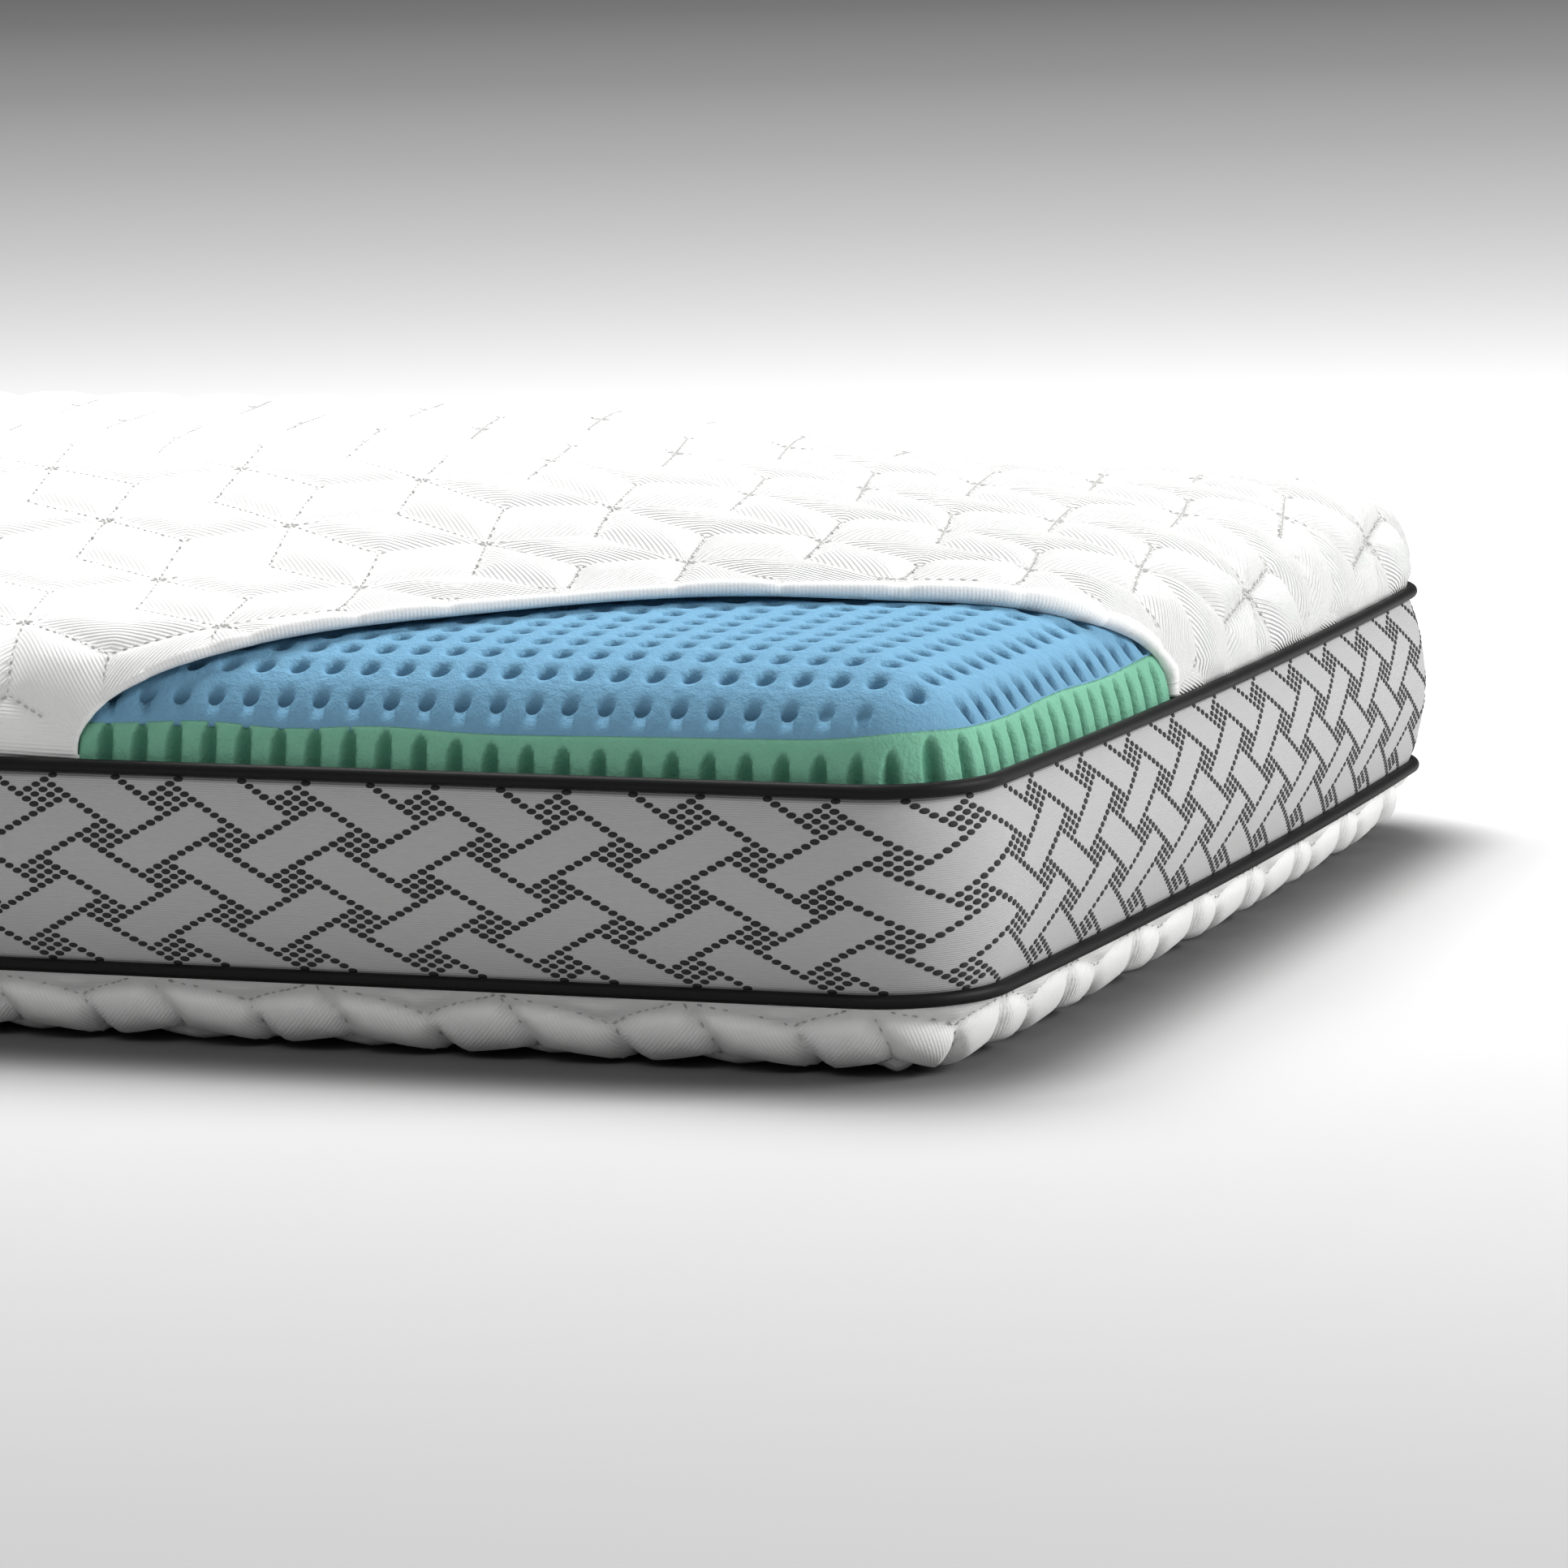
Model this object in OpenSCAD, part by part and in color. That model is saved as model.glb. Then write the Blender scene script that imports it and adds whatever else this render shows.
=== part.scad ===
// Memory foam mattress: four foam layers inside a zipped, quilted cover, with one corner of the top panel
// cut away so that the perforated comfort foam shows.
// Millimetres. +X runs along the length, +Z is up, and the origin is under the middle of the mattress.

/* [Mattress] */
// Length between the seams of the two short ends
body_l = 1905; // [1500:5:2100]
// Width between the seams of the two long sides
body_w = 990; // [750:5:2000]
// Height from the floor to the crown of the quilted top
total_h = 310; // [270:5:400]
// Plan radius of the four corners, at the seams
corner_r = 65; // [60:1:120]

/* [Seams and piping] */
// Height of the lower piping's centre above the floor
low_seam_z = 50; // [40:1:70]
// Height of the border panel, from one piping's centre to the other's
border_h = 122; // [90:1:160]
// Outer diameter of the piping
piping_d = 8.5; // [6:0.1:12]
// Diameter of the cotton filler cord inside the piping
piping_cord_d = 6; // [4:0.1:8]
// Thickness of the flange that the piping is sewn in by
flange_t = 1.2; // [0.8:0.1:2]

/* [Cover] */
// Thickness of the knitted face fabric
face_t = 1.4; // [0.8:0.1:2]
// Thickness of the quilting fibre under the top face
top_fill_t = 9.6; // [6:0.1:16]
// Thickness of the nonwoven backing behind the quilting
backing_t = 1; // [0.5:0.1:2]
// Width of all the top panel's layers together where they are sewn to the piping
rim_w = 7; // [5:0.1:12]
// How far the border panel bulges out between the pipings
border_bulge = 12; // [4:1:16]
// Thickness of the quilting fibre under the bottom face
bottom_fill_t = 7; // [4:0.1:12]
// How far the bottom panel's side curves in between the piping and the floor
bottom_tuck = 40; // [20:1:48]

/* [Top shape] */
// Height of the rounded shoulder above the upper seam
shoulder_h = 80; // [60:1:90]
// Width of the rounded shoulder
shoulder_w = 115; // [80:1:160]
// Distance from each short end over which the crown rises
crown_run_l = 600; // [300:10:700]
// Distance from each long side over which the crown rises
crown_run_w = 375; // [200:5:375]

/* [Foam] */
// Height of the seam between the blue comfort foam and the green foam
blue_z = 197; // [185:1:210]
// Thickness of the green airflow foam
green_t = 50; // [30:1:60]
// Thickness of the support foam
support_t = 55; // [30:1:60]

/* [Cut-away corner] */
// Distance along the long side from the corner to where the cut starts
cut_long = 579; // [300:1:700]
// Distance along the short side from the corner to where the cut ends
cut_short = 403; // [250:1:450]
// Distance of the cut's middle point from the short side
cut_mid_x = 265; // [200:1:330]
// Distance of the cut's middle point from the long side
cut_mid_y = 195; // [150:1:230]

/* [Zip] */
// Length of the zip along the back
zip_l = 1600; // [900:10:1650]
// Height of the opening that the zip fills
zip_gap = 17; // [15:0.5:24]
// Width of each row of teeth
teeth_w = 2.2; // [1.6:0.1:3]
// Depth of the teeth
teeth_t = 1.8; // [1.2:0.1:2.5]
// Thickness of the zip tapes
tape_t = 1.2; // [0.8:0.1:1.6]
// Length of the slider
slider_l = 11; // [9:0.5:16]
// Height of the slider
slider_h = 9; // [8:0.5:12]
// Length of the pull tab, beyond its crossbar
pull_l = 30; // [15:1:45]
// Width of the pull tab
pull_w = 8; // [6:0.5:10]

/* [Hidden] */
$fn = 48;

// Gaps
run_gap = 0.4;
seat_gap = 0.2;
foam_gap = 3.5;

// Seams
high_seam_z = low_seam_z + border_h;
piping_r = piping_d / 2;
seam_in = 3;
seam_dz = sqrt(piping_r * piping_r - seam_in * seam_in);
rim_z = high_seam_z + seam_dz;
foam_in = seam_in + rim_w + seat_gap;

// Top shape
shoulder_pow = 2.6;
crown_h = total_h - rim_z - shoulder_h;
cover_t = face_t + top_fill_t + backing_t;
foam_rise = shoulder_h - cover_t - foam_gap;

// Grid of the crowned sheets, as distances from the edge
edge_steps = [0, 1.5, 5, 12, 24, 42, 66, 95, 150, 230, 340];
mid_long = [450, 560, 700];

// Foam
green_z = blue_z - green_t;
support_z = green_z - support_t;
bottom_t = face_t + bottom_fill_t + backing_t;
function undome(share) = 1 - pow(1 - pow(share, shoulder_pow), 1 / shoulder_pow);
blue_in = foam_in + shoulder_w * undome((blue_z - rim_z) / foam_rise);

// How far the blue foam's edge is set in from the green foam's shoulder
blue_lip = 1.5;

// The cut's direction and sweep where it leaves the long side, passes its middle and reaches the short side
cut_lead = [79, 5];
cut_slope = [115, 70];
cut_tail = [25, 138];

// Zip
zip_z = low_seam_z + piping_r + zip_gap / 2;
tape_y = body_w / 2 - seam_in;
stop_l = 4;
slider_t = 1.6;
lip_t = 1.1;
slider_x = -zip_l / 2 + stop_l + slider_l / 2 + 3;
slider_y = tape_y + teeth_t + run_gap;
bail_l = 6;
bail_w = 3.2;
bail_wall = 1.4;
bar_r = 0.8;
pull_t = 1.2;
bar_x = slider_x;
bar_y = slider_y + slider_t + run_gap + bar_r;

// ---- Outlines ----

// The plan outline of the mattress, moved in by a distance
module outline(inset) {
    r = corner_r - inset;
    hx = body_l / 2 - inset;
    hy = body_w / 2 - inset;
    square([2 * (hx - r), 2 * hy], center = true);
    square([2 * hx, 2 * (hy - r)], center = true);
    for (sx = [-1, 1], sy = [-1, 1])
        translate([sx * (hx - r), sy * (hy - r)]) circle(r);
}

// A flat slab of that outline between two heights
module slab(inset, low, high) {
    translate([0, 0, low]) linear_extrude(high - low) outline(inset);
}

// Sweeps a profile round the outline: x is the distance out from the seam line and y is the height
module band() {
    side_l = body_l - 2 * corner_r;
    side_w = body_w - 2 * corner_r;
    for (turn = [0, 180]) rotate([0, 0, turn]) {
        translate([body_l / 2, 0, 0]) rotate([90, 0, 0]) linear_extrude(side_w, center = true) children();
        translate([0, body_w / 2, 0]) rotate([90, 0, 90]) linear_extrude(side_l, center = true) children();
        translate([side_l / 2, side_w / 2, 0])
            rotate_extrude(angle = 90) translate([corner_r, 0]) children();
        translate([-side_l / 2, side_w / 2, 0]) rotate([0, 0, 90])
            rotate_extrude(angle = 90) translate([corner_r, 0]) children();
    }
}

// ---- Crowned sheets ----

function dome(u) = u >= 1 ? 1 : pow(1 - pow(1 - max(u, 0), shoulder_pow), 1 / shoulder_pow);
function ease(t) = pow(sin(90 * min(max(t, 0), 1)), 2);
function swell(x, y) =
    crown_h * ease((body_l / 2 - abs(x)) / crown_run_l) * ease((body_w / 2 - abs(y)) / crown_run_w);

// How far a point lies inside the outline that is moved in by inset
function depth_in(x, y, inset) =
    let (
        r = corner_r - inset,
        qx = abs(x) - (body_l / 2 - corner_r),
        qy = abs(y) - (body_w / 2 - corner_r)
    )
    r - (norm([max(qx, 0), max(qy, 0)]) + min(max(qx, qy), 0));

// Half the length of the outline at one distance across it
function half_l(y, inset) =
    let (over = abs(y) - (body_w / 2 - corner_r), r = corner_r - inset)
    body_l / 2 - corner_r + (over <= 0 ? r : sqrt(max(r * r - over * over, 0)));

// Distances from the middle, from one edge to the other, for a half width and the steps in from its edge
function across(half, steps) = concat(
    [for (s = steps) -(half - s)],
    [0],
    [for (i = [len(steps) - 1:-1:0]) half - steps[i]]
);

// The grid points of one surface
function sheet_points(inset, rise, base, spread) = [
    for (y = across(body_w / 2 - inset, edge_steps))
        for (u = across(body_l / 2 - inset, concat(edge_steps, mid_long)))
            let (x = u / (body_l / 2 - inset) * half_l(y, inset))
            [x, y, base + rise * dome((depth_in(x, y, inset) + spread) / shoulder_w) + swell(x, y)]
];

rows = 2 * len(edge_steps) + 1;
cols = rows + 2 * len(mid_long);

function upper_faces(start) = [
    for (j = [0:rows - 2], i = [0:cols - 2], half = [0, 1])
        let (a = start + j * cols + i)
        half == 0 ? [a, a + cols, a + 1] : [a + 1, a + cols, a + cols + 1]
];
function lower_faces(start) = [for (f = upper_faces(start)) [f[2], f[1], f[0]]];

// The indices round the grid's edge, anticlockwise from above
edge_ring = concat(
    [for (i = [0:cols - 2]) i],
    [for (j = [0:rows - 2]) j * cols + cols - 1],
    [for (i = [cols - 1:-1:1]) (rows - 1) * cols + i],
    [for (j = [rows - 1:-1:1]) j * cols]
);
function wall_faces(top, low) = [
    for (k = [0:len(edge_ring) - 1], half = [0, 1])
        let (a = edge_ring[k], b = edge_ring[(k + 1) % len(edge_ring)])
        half == 0 ? [top + a, top + b, low + a] : [top + b, low + b, low + a]
];

// A layer of the top panel, between two depths: how far in its edges lie and how far below the face it is
module crowned_layer(in_a, drop_a, in_b, drop_b) {
    outer = sheet_points(seam_in + in_a, shoulder_h - drop_a, rim_z, 0);
    inner = sheet_points(seam_in + in_b, shoulder_h - drop_b, rim_z, 0);
    n = len(outer);
    polyhedron(concat(outer, inner), concat(upper_faces(0), lower_faces(n), wall_faces(0, n)));
}

// ---- The cut-away corner ----

function bezier(t, a, b, c, d) =
    pow(1 - t, 3) * a + 3 * pow(1 - t, 2) * t * b + 3 * (1 - t) * t * t * c + pow(t, 3) * d;

module cut_corner() {
    corner = [body_l / 2, -body_w / 2];
    start = corner + [-cut_long, 0];
    finish = corner + [0, cut_short];
    middle = corner + [-cut_mid_x, cut_mid_y];
    margin = 40;
    steps = 12;
    path = concat(
        [for (i = [0:steps]) bezier(i / steps, start, start + cut_lead, middle - cut_slope, middle)],
        [for (i = [1:steps]) bezier(i / steps, middle, middle + cut_slope, finish - cut_tail, finish)]
    );
    translate([0, 0, rim_z - 1]) linear_extrude(total_h)
        polygon(concat(
            [start + [0, -margin]],
            path,
            [finish + [margin, 0], corner + [margin, -margin]]
        ));
}

// ---- Top panel ----

face_rim = face_t;
fill_rim = rim_w - backing_t;

module top_cover_face() color("white") difference() {
    crowned_layer(0, 0, face_rim, face_t);
    cut_corner();
}

module top_quilt_fill() color("ghostwhite") difference() {
    crowned_layer(face_rim, face_t, fill_rim, face_t + top_fill_t);
    cut_corner();
}

module top_quilt_backing() color("gainsboro") difference() {
    crowned_layer(fill_rim, face_t + top_fill_t, rim_w, cover_t);
    cut_corner();
}

// ---- Piping ----

module piping_tape(z) band() {
    difference() {
        translate([0, z]) circle(piping_r);
        translate([0, z]) circle(d = piping_cord_d);
    }
    translate([-foam_in + seat_gap, z - flange_t / 2])
        square([foam_in - seat_gap - piping_r + 0.3, flange_t]);
}
module piping_cord(z) band() translate([0, z]) circle(d = piping_cord_d);

module upper_piping_tape() color("#1c1c1c") piping_tape(high_seam_z);
module upper_piping_cord() color("linen") piping_cord(high_seam_z);
module lower_piping_tape() color("#1c1c1c") piping_tape(low_seam_z);
module lower_piping_cord() color("linen") piping_cord(low_seam_z);

// ---- Border panel ----

border_low = low_seam_z + seam_dz;
border_high = high_seam_z - seam_dz;
border_steps = 12;

// How far out the border lies at a share of its height, at a depth behind its face
function border_out(s, depth) = -seam_in - depth + border_bulge * 4 * s * (1 - s);
function border_edge(depth) = [
    for (i = [0:border_steps])
        [border_out(i / border_steps, depth), border_low + (border_high - border_low) * i / border_steps]
];
function reversed(list) = [for (i = [len(list) - 1:-1:0]) list[i]];

backing_out = -foam_in + backing_t + seat_gap;

module zip_opening() {
    translate([-zip_l / 2 - tape_t, tape_y - 2 * foam_in, zip_z - zip_gap / 2])
        cube([zip_l + 2 * tape_t, 4 * foam_in, zip_gap]);
}

module border_face() color("#b4b4b4") difference() {
    band() polygon(concat(border_edge(0), reversed(border_edge(face_t))));
    zip_opening();
}

module border_padding() color("whitesmoke") difference() {
    band() polygon(concat(border_edge(face_t), [[backing_out, border_high], [backing_out, border_low]]));
    zip_opening();
}

module border_backing() color("gainsboro") difference() {
    band() translate([backing_out - backing_t, border_low]) square([backing_t, border_high - border_low]);
    zip_opening();
}

// ---- Bottom panel ----

bottom_high = low_seam_z - seam_dz;
tuck_steps = 10;

// The quarter round from the lower piping to the floor, at a depth behind its face
function tuck_edge(depth) = [
    for (i = [0:tuck_steps])
        let (a = 90 * i / tuck_steps)
        [
            -seam_in - bottom_tuck + (bottom_tuck - depth) * cos(a),
            bottom_high - (bottom_high - depth) * sin(a)
        ]
];

module bottom_layer(depth_a, depth_b) {
    inner = seam_in + bottom_tuck;
    band() polygon(concat(tuck_edge(depth_a), reversed(tuck_edge(depth_b))));
    slab(inner, depth_a, depth_b);
}

module bottom_cover_face() color("white") bottom_layer(0, face_t);
module bottom_quilt_fill() color("ghostwhite") bottom_layer(face_t, face_t + bottom_fill_t);
module bottom_quilt_backing() color("gainsboro") bottom_layer(face_t + bottom_fill_t, bottom_t);

// ---- Foam ----

module base_foam() color("#e8e2c8") {
    inner = seam_in + bottom_tuck;
    band() polygon(concat(tuck_edge(bottom_t + seat_gap), [[-inner, bottom_high]]));
    slab(inner, bottom_t + seat_gap, bottom_high);
    slab(seam_in + bottom_t + seat_gap, bottom_high, support_z);
}

module support_foam() color("#f0ecdc") slab(foam_in, support_z, green_z);

module green_airflow_foam() color("#7fd0a4") {
    inner = 2 * foam_in;
    band() polygon([
        [-inner, green_z], [-foam_in, green_z], [-foam_in, rim_z - 2 * foam_gap],
        [-blue_in - foam_gap, blue_z], [-inner, blue_z]
    ]);
    slab(inner, green_z, blue_z);
}

module blue_comfort_foam() color("#7db8e6") {
    edge_in = blue_in + foam_gap + blue_lip;
    surface = sheet_points(edge_in, foam_rise, rim_z, edge_in - foam_in);
    floor_points = [for (p = surface) [p[0], p[1], blue_z]];
    n = len(surface);
    polyhedron(concat(surface, floor_points), concat(upper_faces(0), lower_faces(n), wall_faces(0, n)));
}

// ---- Zip ----

module zip_tape(side) {
    reach = zip_gap / 2;
    translate([-zip_l / 2, tape_y - tape_t, side > 0 ? zip_z : zip_z - reach])
        cube([zip_l, tape_t, reach]);
}
module zip_teeth(side) {
    translate([-zip_l / 2 + stop_l, tape_y, side > 0 ? zip_z : zip_z - teeth_w])
        cube([zip_l - 2 * stop_l, teeth_t, teeth_w]);
}

module zip_tape_upper() color("#8c8c8c") zip_tape(1);
module zip_tape_lower() color("#8c8c8c") zip_tape(-1);
module zip_teeth_upper() color("#6e6e6e") zip_teeth(1);
module zip_teeth_lower() color("#6e6e6e") zip_teeth(-1);

module zip_stops() color("silver") for (end = [-1, 1])
    translate([end * (zip_l - stop_l) / 2, tape_y + teeth_t / 2, zip_z])
        cube([stop_l, teeth_t, 2 * teeth_w + 1], center = true);

module zip_slider() color("silver") {
    // front wing
    translate([slider_x - slider_l / 2, slider_y, zip_z - slider_h / 2]) cube([slider_l, slider_t, slider_h]);
    // lips that wrap the two rows of teeth
    for (side = [-1, 1])
        translate([slider_x, (tape_y + run_gap + slider_y) / 2, zip_z + side * (slider_h - lip_t) / 2])
            cube([slider_l, slider_y - tape_y - run_gap, lip_t], center = true);
    // bail over the pull's crossbar
    bail_h = 2 * (bar_r + run_gap) + bail_wall;
    translate([slider_x - bail_l / 2, slider_y + slider_t, zip_z - bail_w / 2]) difference() {
        cube([bail_l, bail_h, bail_w]);
        translate([bail_wall, -1, -1]) cube([bail_l - 2 * bail_wall, bail_h - bail_wall + 1, bail_w + 2]);
    }
}

module zip_pull() color("silver") {
    arm_w = (pull_w - bail_w) / 2 - run_gap;
    arm_l = bail_l;
    // crossbar under the bail
    translate([bar_x, bar_y, zip_z - pull_w / 2]) cylinder(r = bar_r, h = pull_w);
    // two arms beside the bail
    for (side = [-1, 1])
        translate([bar_x, bar_y - pull_t / 2, zip_z + side * (pull_w - arm_w) / 2 - arm_w / 2])
            cube([arm_l, pull_t, arm_w]);
    // tab
    translate([bar_x + arm_l, bar_y - pull_t / 2, zip_z - pull_w / 2]) cube([pull_l - arm_l, pull_t, pull_w]);
}

top_cover_face();
top_quilt_fill();
top_quilt_backing();
upper_piping_tape();
upper_piping_cord();
border_face();
border_padding();
border_backing();
lower_piping_tape();
lower_piping_cord();
bottom_cover_face();
bottom_quilt_fill();
bottom_quilt_backing();
blue_comfort_foam();
green_airflow_foam();
support_foam();
base_foam();
zip_tape_upper();
zip_tape_lower();
zip_teeth_upper();
zip_teeth_lower();
zip_stops();
zip_slider();
zip_pull();
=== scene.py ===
# %% [markdown]
# # Memory foam mattress
# A single mattress with a quilted white top, a grey knitted border with a dark dotted weave, black piping and a
# scalloped underside. One corner of the top panel is cut away, which shows the perforated blue comfort foam over
# the green airflow foam. The visual pieces are laid on the CAD frame, so every size starts from a CAD node.

# %% Load the frame
import math

import bpy
import numpy as np
from mathutils import Matrix, Vector


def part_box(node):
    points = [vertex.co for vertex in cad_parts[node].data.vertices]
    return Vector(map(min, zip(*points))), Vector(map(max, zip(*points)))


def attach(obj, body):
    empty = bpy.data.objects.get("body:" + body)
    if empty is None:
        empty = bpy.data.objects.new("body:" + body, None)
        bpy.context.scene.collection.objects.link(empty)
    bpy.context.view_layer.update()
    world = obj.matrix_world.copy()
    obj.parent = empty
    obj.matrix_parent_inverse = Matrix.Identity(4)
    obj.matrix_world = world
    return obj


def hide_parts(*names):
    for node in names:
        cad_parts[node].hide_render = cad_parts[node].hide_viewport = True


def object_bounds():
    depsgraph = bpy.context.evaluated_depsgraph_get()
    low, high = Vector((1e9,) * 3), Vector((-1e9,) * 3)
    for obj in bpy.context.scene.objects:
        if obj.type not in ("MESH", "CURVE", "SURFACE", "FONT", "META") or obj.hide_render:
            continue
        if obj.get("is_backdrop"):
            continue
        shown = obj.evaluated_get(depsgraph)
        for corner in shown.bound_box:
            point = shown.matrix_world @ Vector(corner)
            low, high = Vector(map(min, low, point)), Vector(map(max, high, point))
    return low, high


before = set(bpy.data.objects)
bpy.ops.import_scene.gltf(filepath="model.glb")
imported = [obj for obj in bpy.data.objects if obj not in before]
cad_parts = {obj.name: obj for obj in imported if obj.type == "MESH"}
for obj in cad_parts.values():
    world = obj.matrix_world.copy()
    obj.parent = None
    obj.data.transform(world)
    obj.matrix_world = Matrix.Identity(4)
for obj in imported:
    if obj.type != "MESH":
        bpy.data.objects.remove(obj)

bounds_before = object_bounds()

# %% [markdown]
# The CAD nodes give the outline: the piping's centre line is the seam where the border meets the panels.
# A few sizes that no box tells, such as the corner radius, are named here once, in metres.

# %% Sizes
MM = 0.001

pipe_low, pipe_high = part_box("upper_piping_tape")
lower_low, lower_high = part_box("lower_piping_tape")
PIPING_R = (pipe_high.z - pipe_low.z) / 2
SEAM_HIGH = (pipe_high.z + pipe_low.z) / 2
SEAM_LOW = (lower_high.z + lower_low.z) / 2
HALF_L = pipe_high.x - PIPING_R
HALF_W = pipe_high.y - PIPING_R
RIM_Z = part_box("top_cover_face")[0].z
CORNER_R = 65 * MM
SEAM_IN = 3 * MM
SEAM_DZ = RIM_Z - SEAM_HIGH

SHOULDER_H = 80 * MM
SHOULDER_W = 115 * MM
SHOULDER_POW = 2.6
CROWN_RUN_L = 600 * MM
CROWN_RUN_W = 375 * MM
# the plump top stands a little above the CAD's crown
CROWN_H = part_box("top_cover_face")[1].z - RIM_Z - SHOULDER_H + 10 * MM

FOAM_IN = 10.2 * MM
FOAM_RISE = 68 * MM
BLUE_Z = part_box("blue_comfort_foam")[0].z
GREEN_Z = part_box("green_airflow_foam")[0].z
HOLE_PITCH = 22.75 * MM
HOLE_X = HALF_L - 18.3 * MM
HOLE_Y = -HALF_W + 20 * MM

BULGE = 12 * MM
TUCK = 40 * MM
END_BOW = 12 * MM

print("seam outline", round(2 * HALF_L, 4), "x", round(2 * HALF_W, 4), "m")

# %% [markdown]
# Small helpers: colours are written as sRGB and turned into the renderer's linear values in one place,
# nodes are added by one function, and meshes are made from arrays of points and faces.


# %% Helpers
def colour(code):
    """An sRGB hex colour as linear RGBA."""
    parts = [int(code[i:i + 2], 16) / 255 for i in (1, 3, 5)]
    return [c / 12.92 if c <= 0.04045 else ((c + 0.055) / 1.055) ** 2.4 for c in parts] + [1.0]


def add_node(tree, kind, inputs=None, **settings):
    """Adds a node, sets its properties, and sets or links its inputs."""
    made = tree.nodes.new(kind)
    for key, value in settings.items():
        setattr(made, key, value)
    for key, value in (inputs or {}).items():
        if isinstance(value, bpy.types.NodeSocket):
            tree.links.new(value, made.inputs[key])
        else:
            made.inputs[key].default_value = value
    return made


def mesh_object(name, points, faces, material, smooth=True):
    """A mesh object at the origin from points in the mattress's own frame."""
    name = name.replace(" ", "_")
    mesh = bpy.data.meshes.new(name)
    mesh.from_pydata(points, [], faces)
    mesh.update()
    mesh.polygons.foreach_set("use_smooth", np.full(len(mesh.polygons), smooth))
    mesh.materials.append(material)
    made = bpy.data.objects.new(name, mesh)
    bpy.context.scene.collection.objects.link(made)
    return made


def set_uv(made, name, corner_uv):
    """Writes one UV pair per face corner."""
    layer = made.data.uv_layers.new(name=name)
    layer.data.foreach_set("uv", np.asarray(corner_uv, np.float32).ravel())


def smooth_step(low, high, value):
    t = np.clip((value - low) / (high - low), 0, 1)
    return t * t * (3 - 2 * t)


# %% [markdown]
# The mattress is a soft rounded block. The plan is a rounded rectangle, the shoulders roll over like a
# superellipse, and the middle crowns gently. The short ends bow out a little, as foam does inside a tight cover.


# %% Shape of the mattress
def depth_of(x, y):
    """How far a plan point lies inside the seam outline."""
    qx = np.abs(x) - (HALF_L - CORNER_R)
    qy = np.abs(y) - (HALF_W - CORNER_R)
    out = np.hypot(np.maximum(qx, 0), np.maximum(qy, 0))
    return CORNER_R - out - np.minimum(np.maximum(qx, qy), 0)


def outward(x, y):
    """The plan direction straight out through the seam outline."""
    qx = np.abs(x) - (HALF_L - CORNER_R)
    qy = np.abs(y) - (HALF_W - CORNER_R)
    ox, oy = np.maximum(qx, 0), np.maximum(qy, 0)
    flat = (ox + oy) <= 0
    ox = np.where(flat, qx > qy, ox)
    oy = np.where(flat, qx <= qy, oy)
    size = np.maximum(np.hypot(ox, oy), 1e-9)
    return np.sign(x) * ox / size, np.sign(y) * oy / size


def dome(share):
    t = np.clip(share, 0, 1)
    return (1 - (1 - t) ** SHOULDER_POW) ** (1 / SHOULDER_POW)


def undome(height):
    return 1 - (1 - np.clip(height, 0, 1) ** SHOULDER_POW) ** (1 / SHOULDER_POW)


def ease(t):
    return np.sin(0.5 * math.pi * np.clip(t, 0, 1)) ** 2


def crown(x, y):
    """The soft rise of the middle: slow from the front side, where the cut lets the cover slacken."""
    along = ease((HALF_L - np.abs(x)) / CROWN_RUN_L)
    across = ease((HALF_W + y - 0.06) / 0.40) * ease((HALF_W - y) / (0.8 * CROWN_RUN_W))
    return CROWN_H * along * across


def cover_z(x, y):
    return RIM_Z + SHOULDER_H * dome((depth_of(x, y) - SEAM_IN) / SHOULDER_W) + crown(x, y)


def foam_z(x, y):
    return RIM_Z + FOAM_RISE * dome((depth_of(x, y) - FOAM_IN) / SHOULDER_W) + crown(x, y)


def bowed(points):
    """Pushes the short ends out at the middle of their length."""
    x, y = points[..., 0], points[..., 1]
    push = END_BOW * (1 - (y / HALF_W) ** 2) * np.sign(x) * (np.abs(x) / HALF_L) ** 4
    return points + np.stack([push, 0 * push, 0 * push], -1)


SIDE_W = 2 * (HALF_W - CORNER_R)
SIDE_L = 2 * (HALF_L - CORNER_R)
ARC = 0.5 * math.pi * CORNER_R
ROUND = 2 * SIDE_W + 2 * SIDE_L + 4 * ARC
FRONT_START = SIDE_W + ARC
RIGHT_START = FRONT_START + SIDE_L + ARC
BACK_START = RIGHT_START + SIDE_W + ARC


def outline_at(s):
    """Plan point and outward direction at a distance round the seam, from the back end of the left side."""
    s = np.mod(s, ROUND)
    x, y = np.zeros_like(s), np.zeros_like(s)
    nx, ny = np.zeros_like(s), np.zeros_like(s)
    at = 0.0
    for turn in range(4):
        run = SIDE_W if turn % 2 == 0 else SIDE_L
        angle = math.pi + turn * math.pi / 2
        ux, uy = math.cos(angle), math.sin(angle)
        tx, ty = -uy, ux
        far = HALF_L if turn % 2 == 0 else HALF_W
        side = (s >= at) & (s < at + run)
        along = s - at - run / 2
        x = np.where(side, ux * far + tx * along, x)
        y = np.where(side, uy * far + ty * along, y)
        nx, ny = np.where(side, ux, nx), np.where(side, uy, ny)
        at += run
        bend = (s >= at) & (s < at + ARC)
        a = angle + (s - at) / CORNER_R
        cx = ux * (far - CORNER_R) + tx * run / 2
        cy = uy * (far - CORNER_R) + ty * run / 2
        x = np.where(bend, cx + CORNER_R * np.cos(a), x)
        y = np.where(bend, cy + CORNER_R * np.sin(a), y)
        nx, ny = np.where(bend, np.cos(a), nx), np.where(bend, np.sin(a), ny)
        at += ARC
    return x, y, nx, ny


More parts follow.
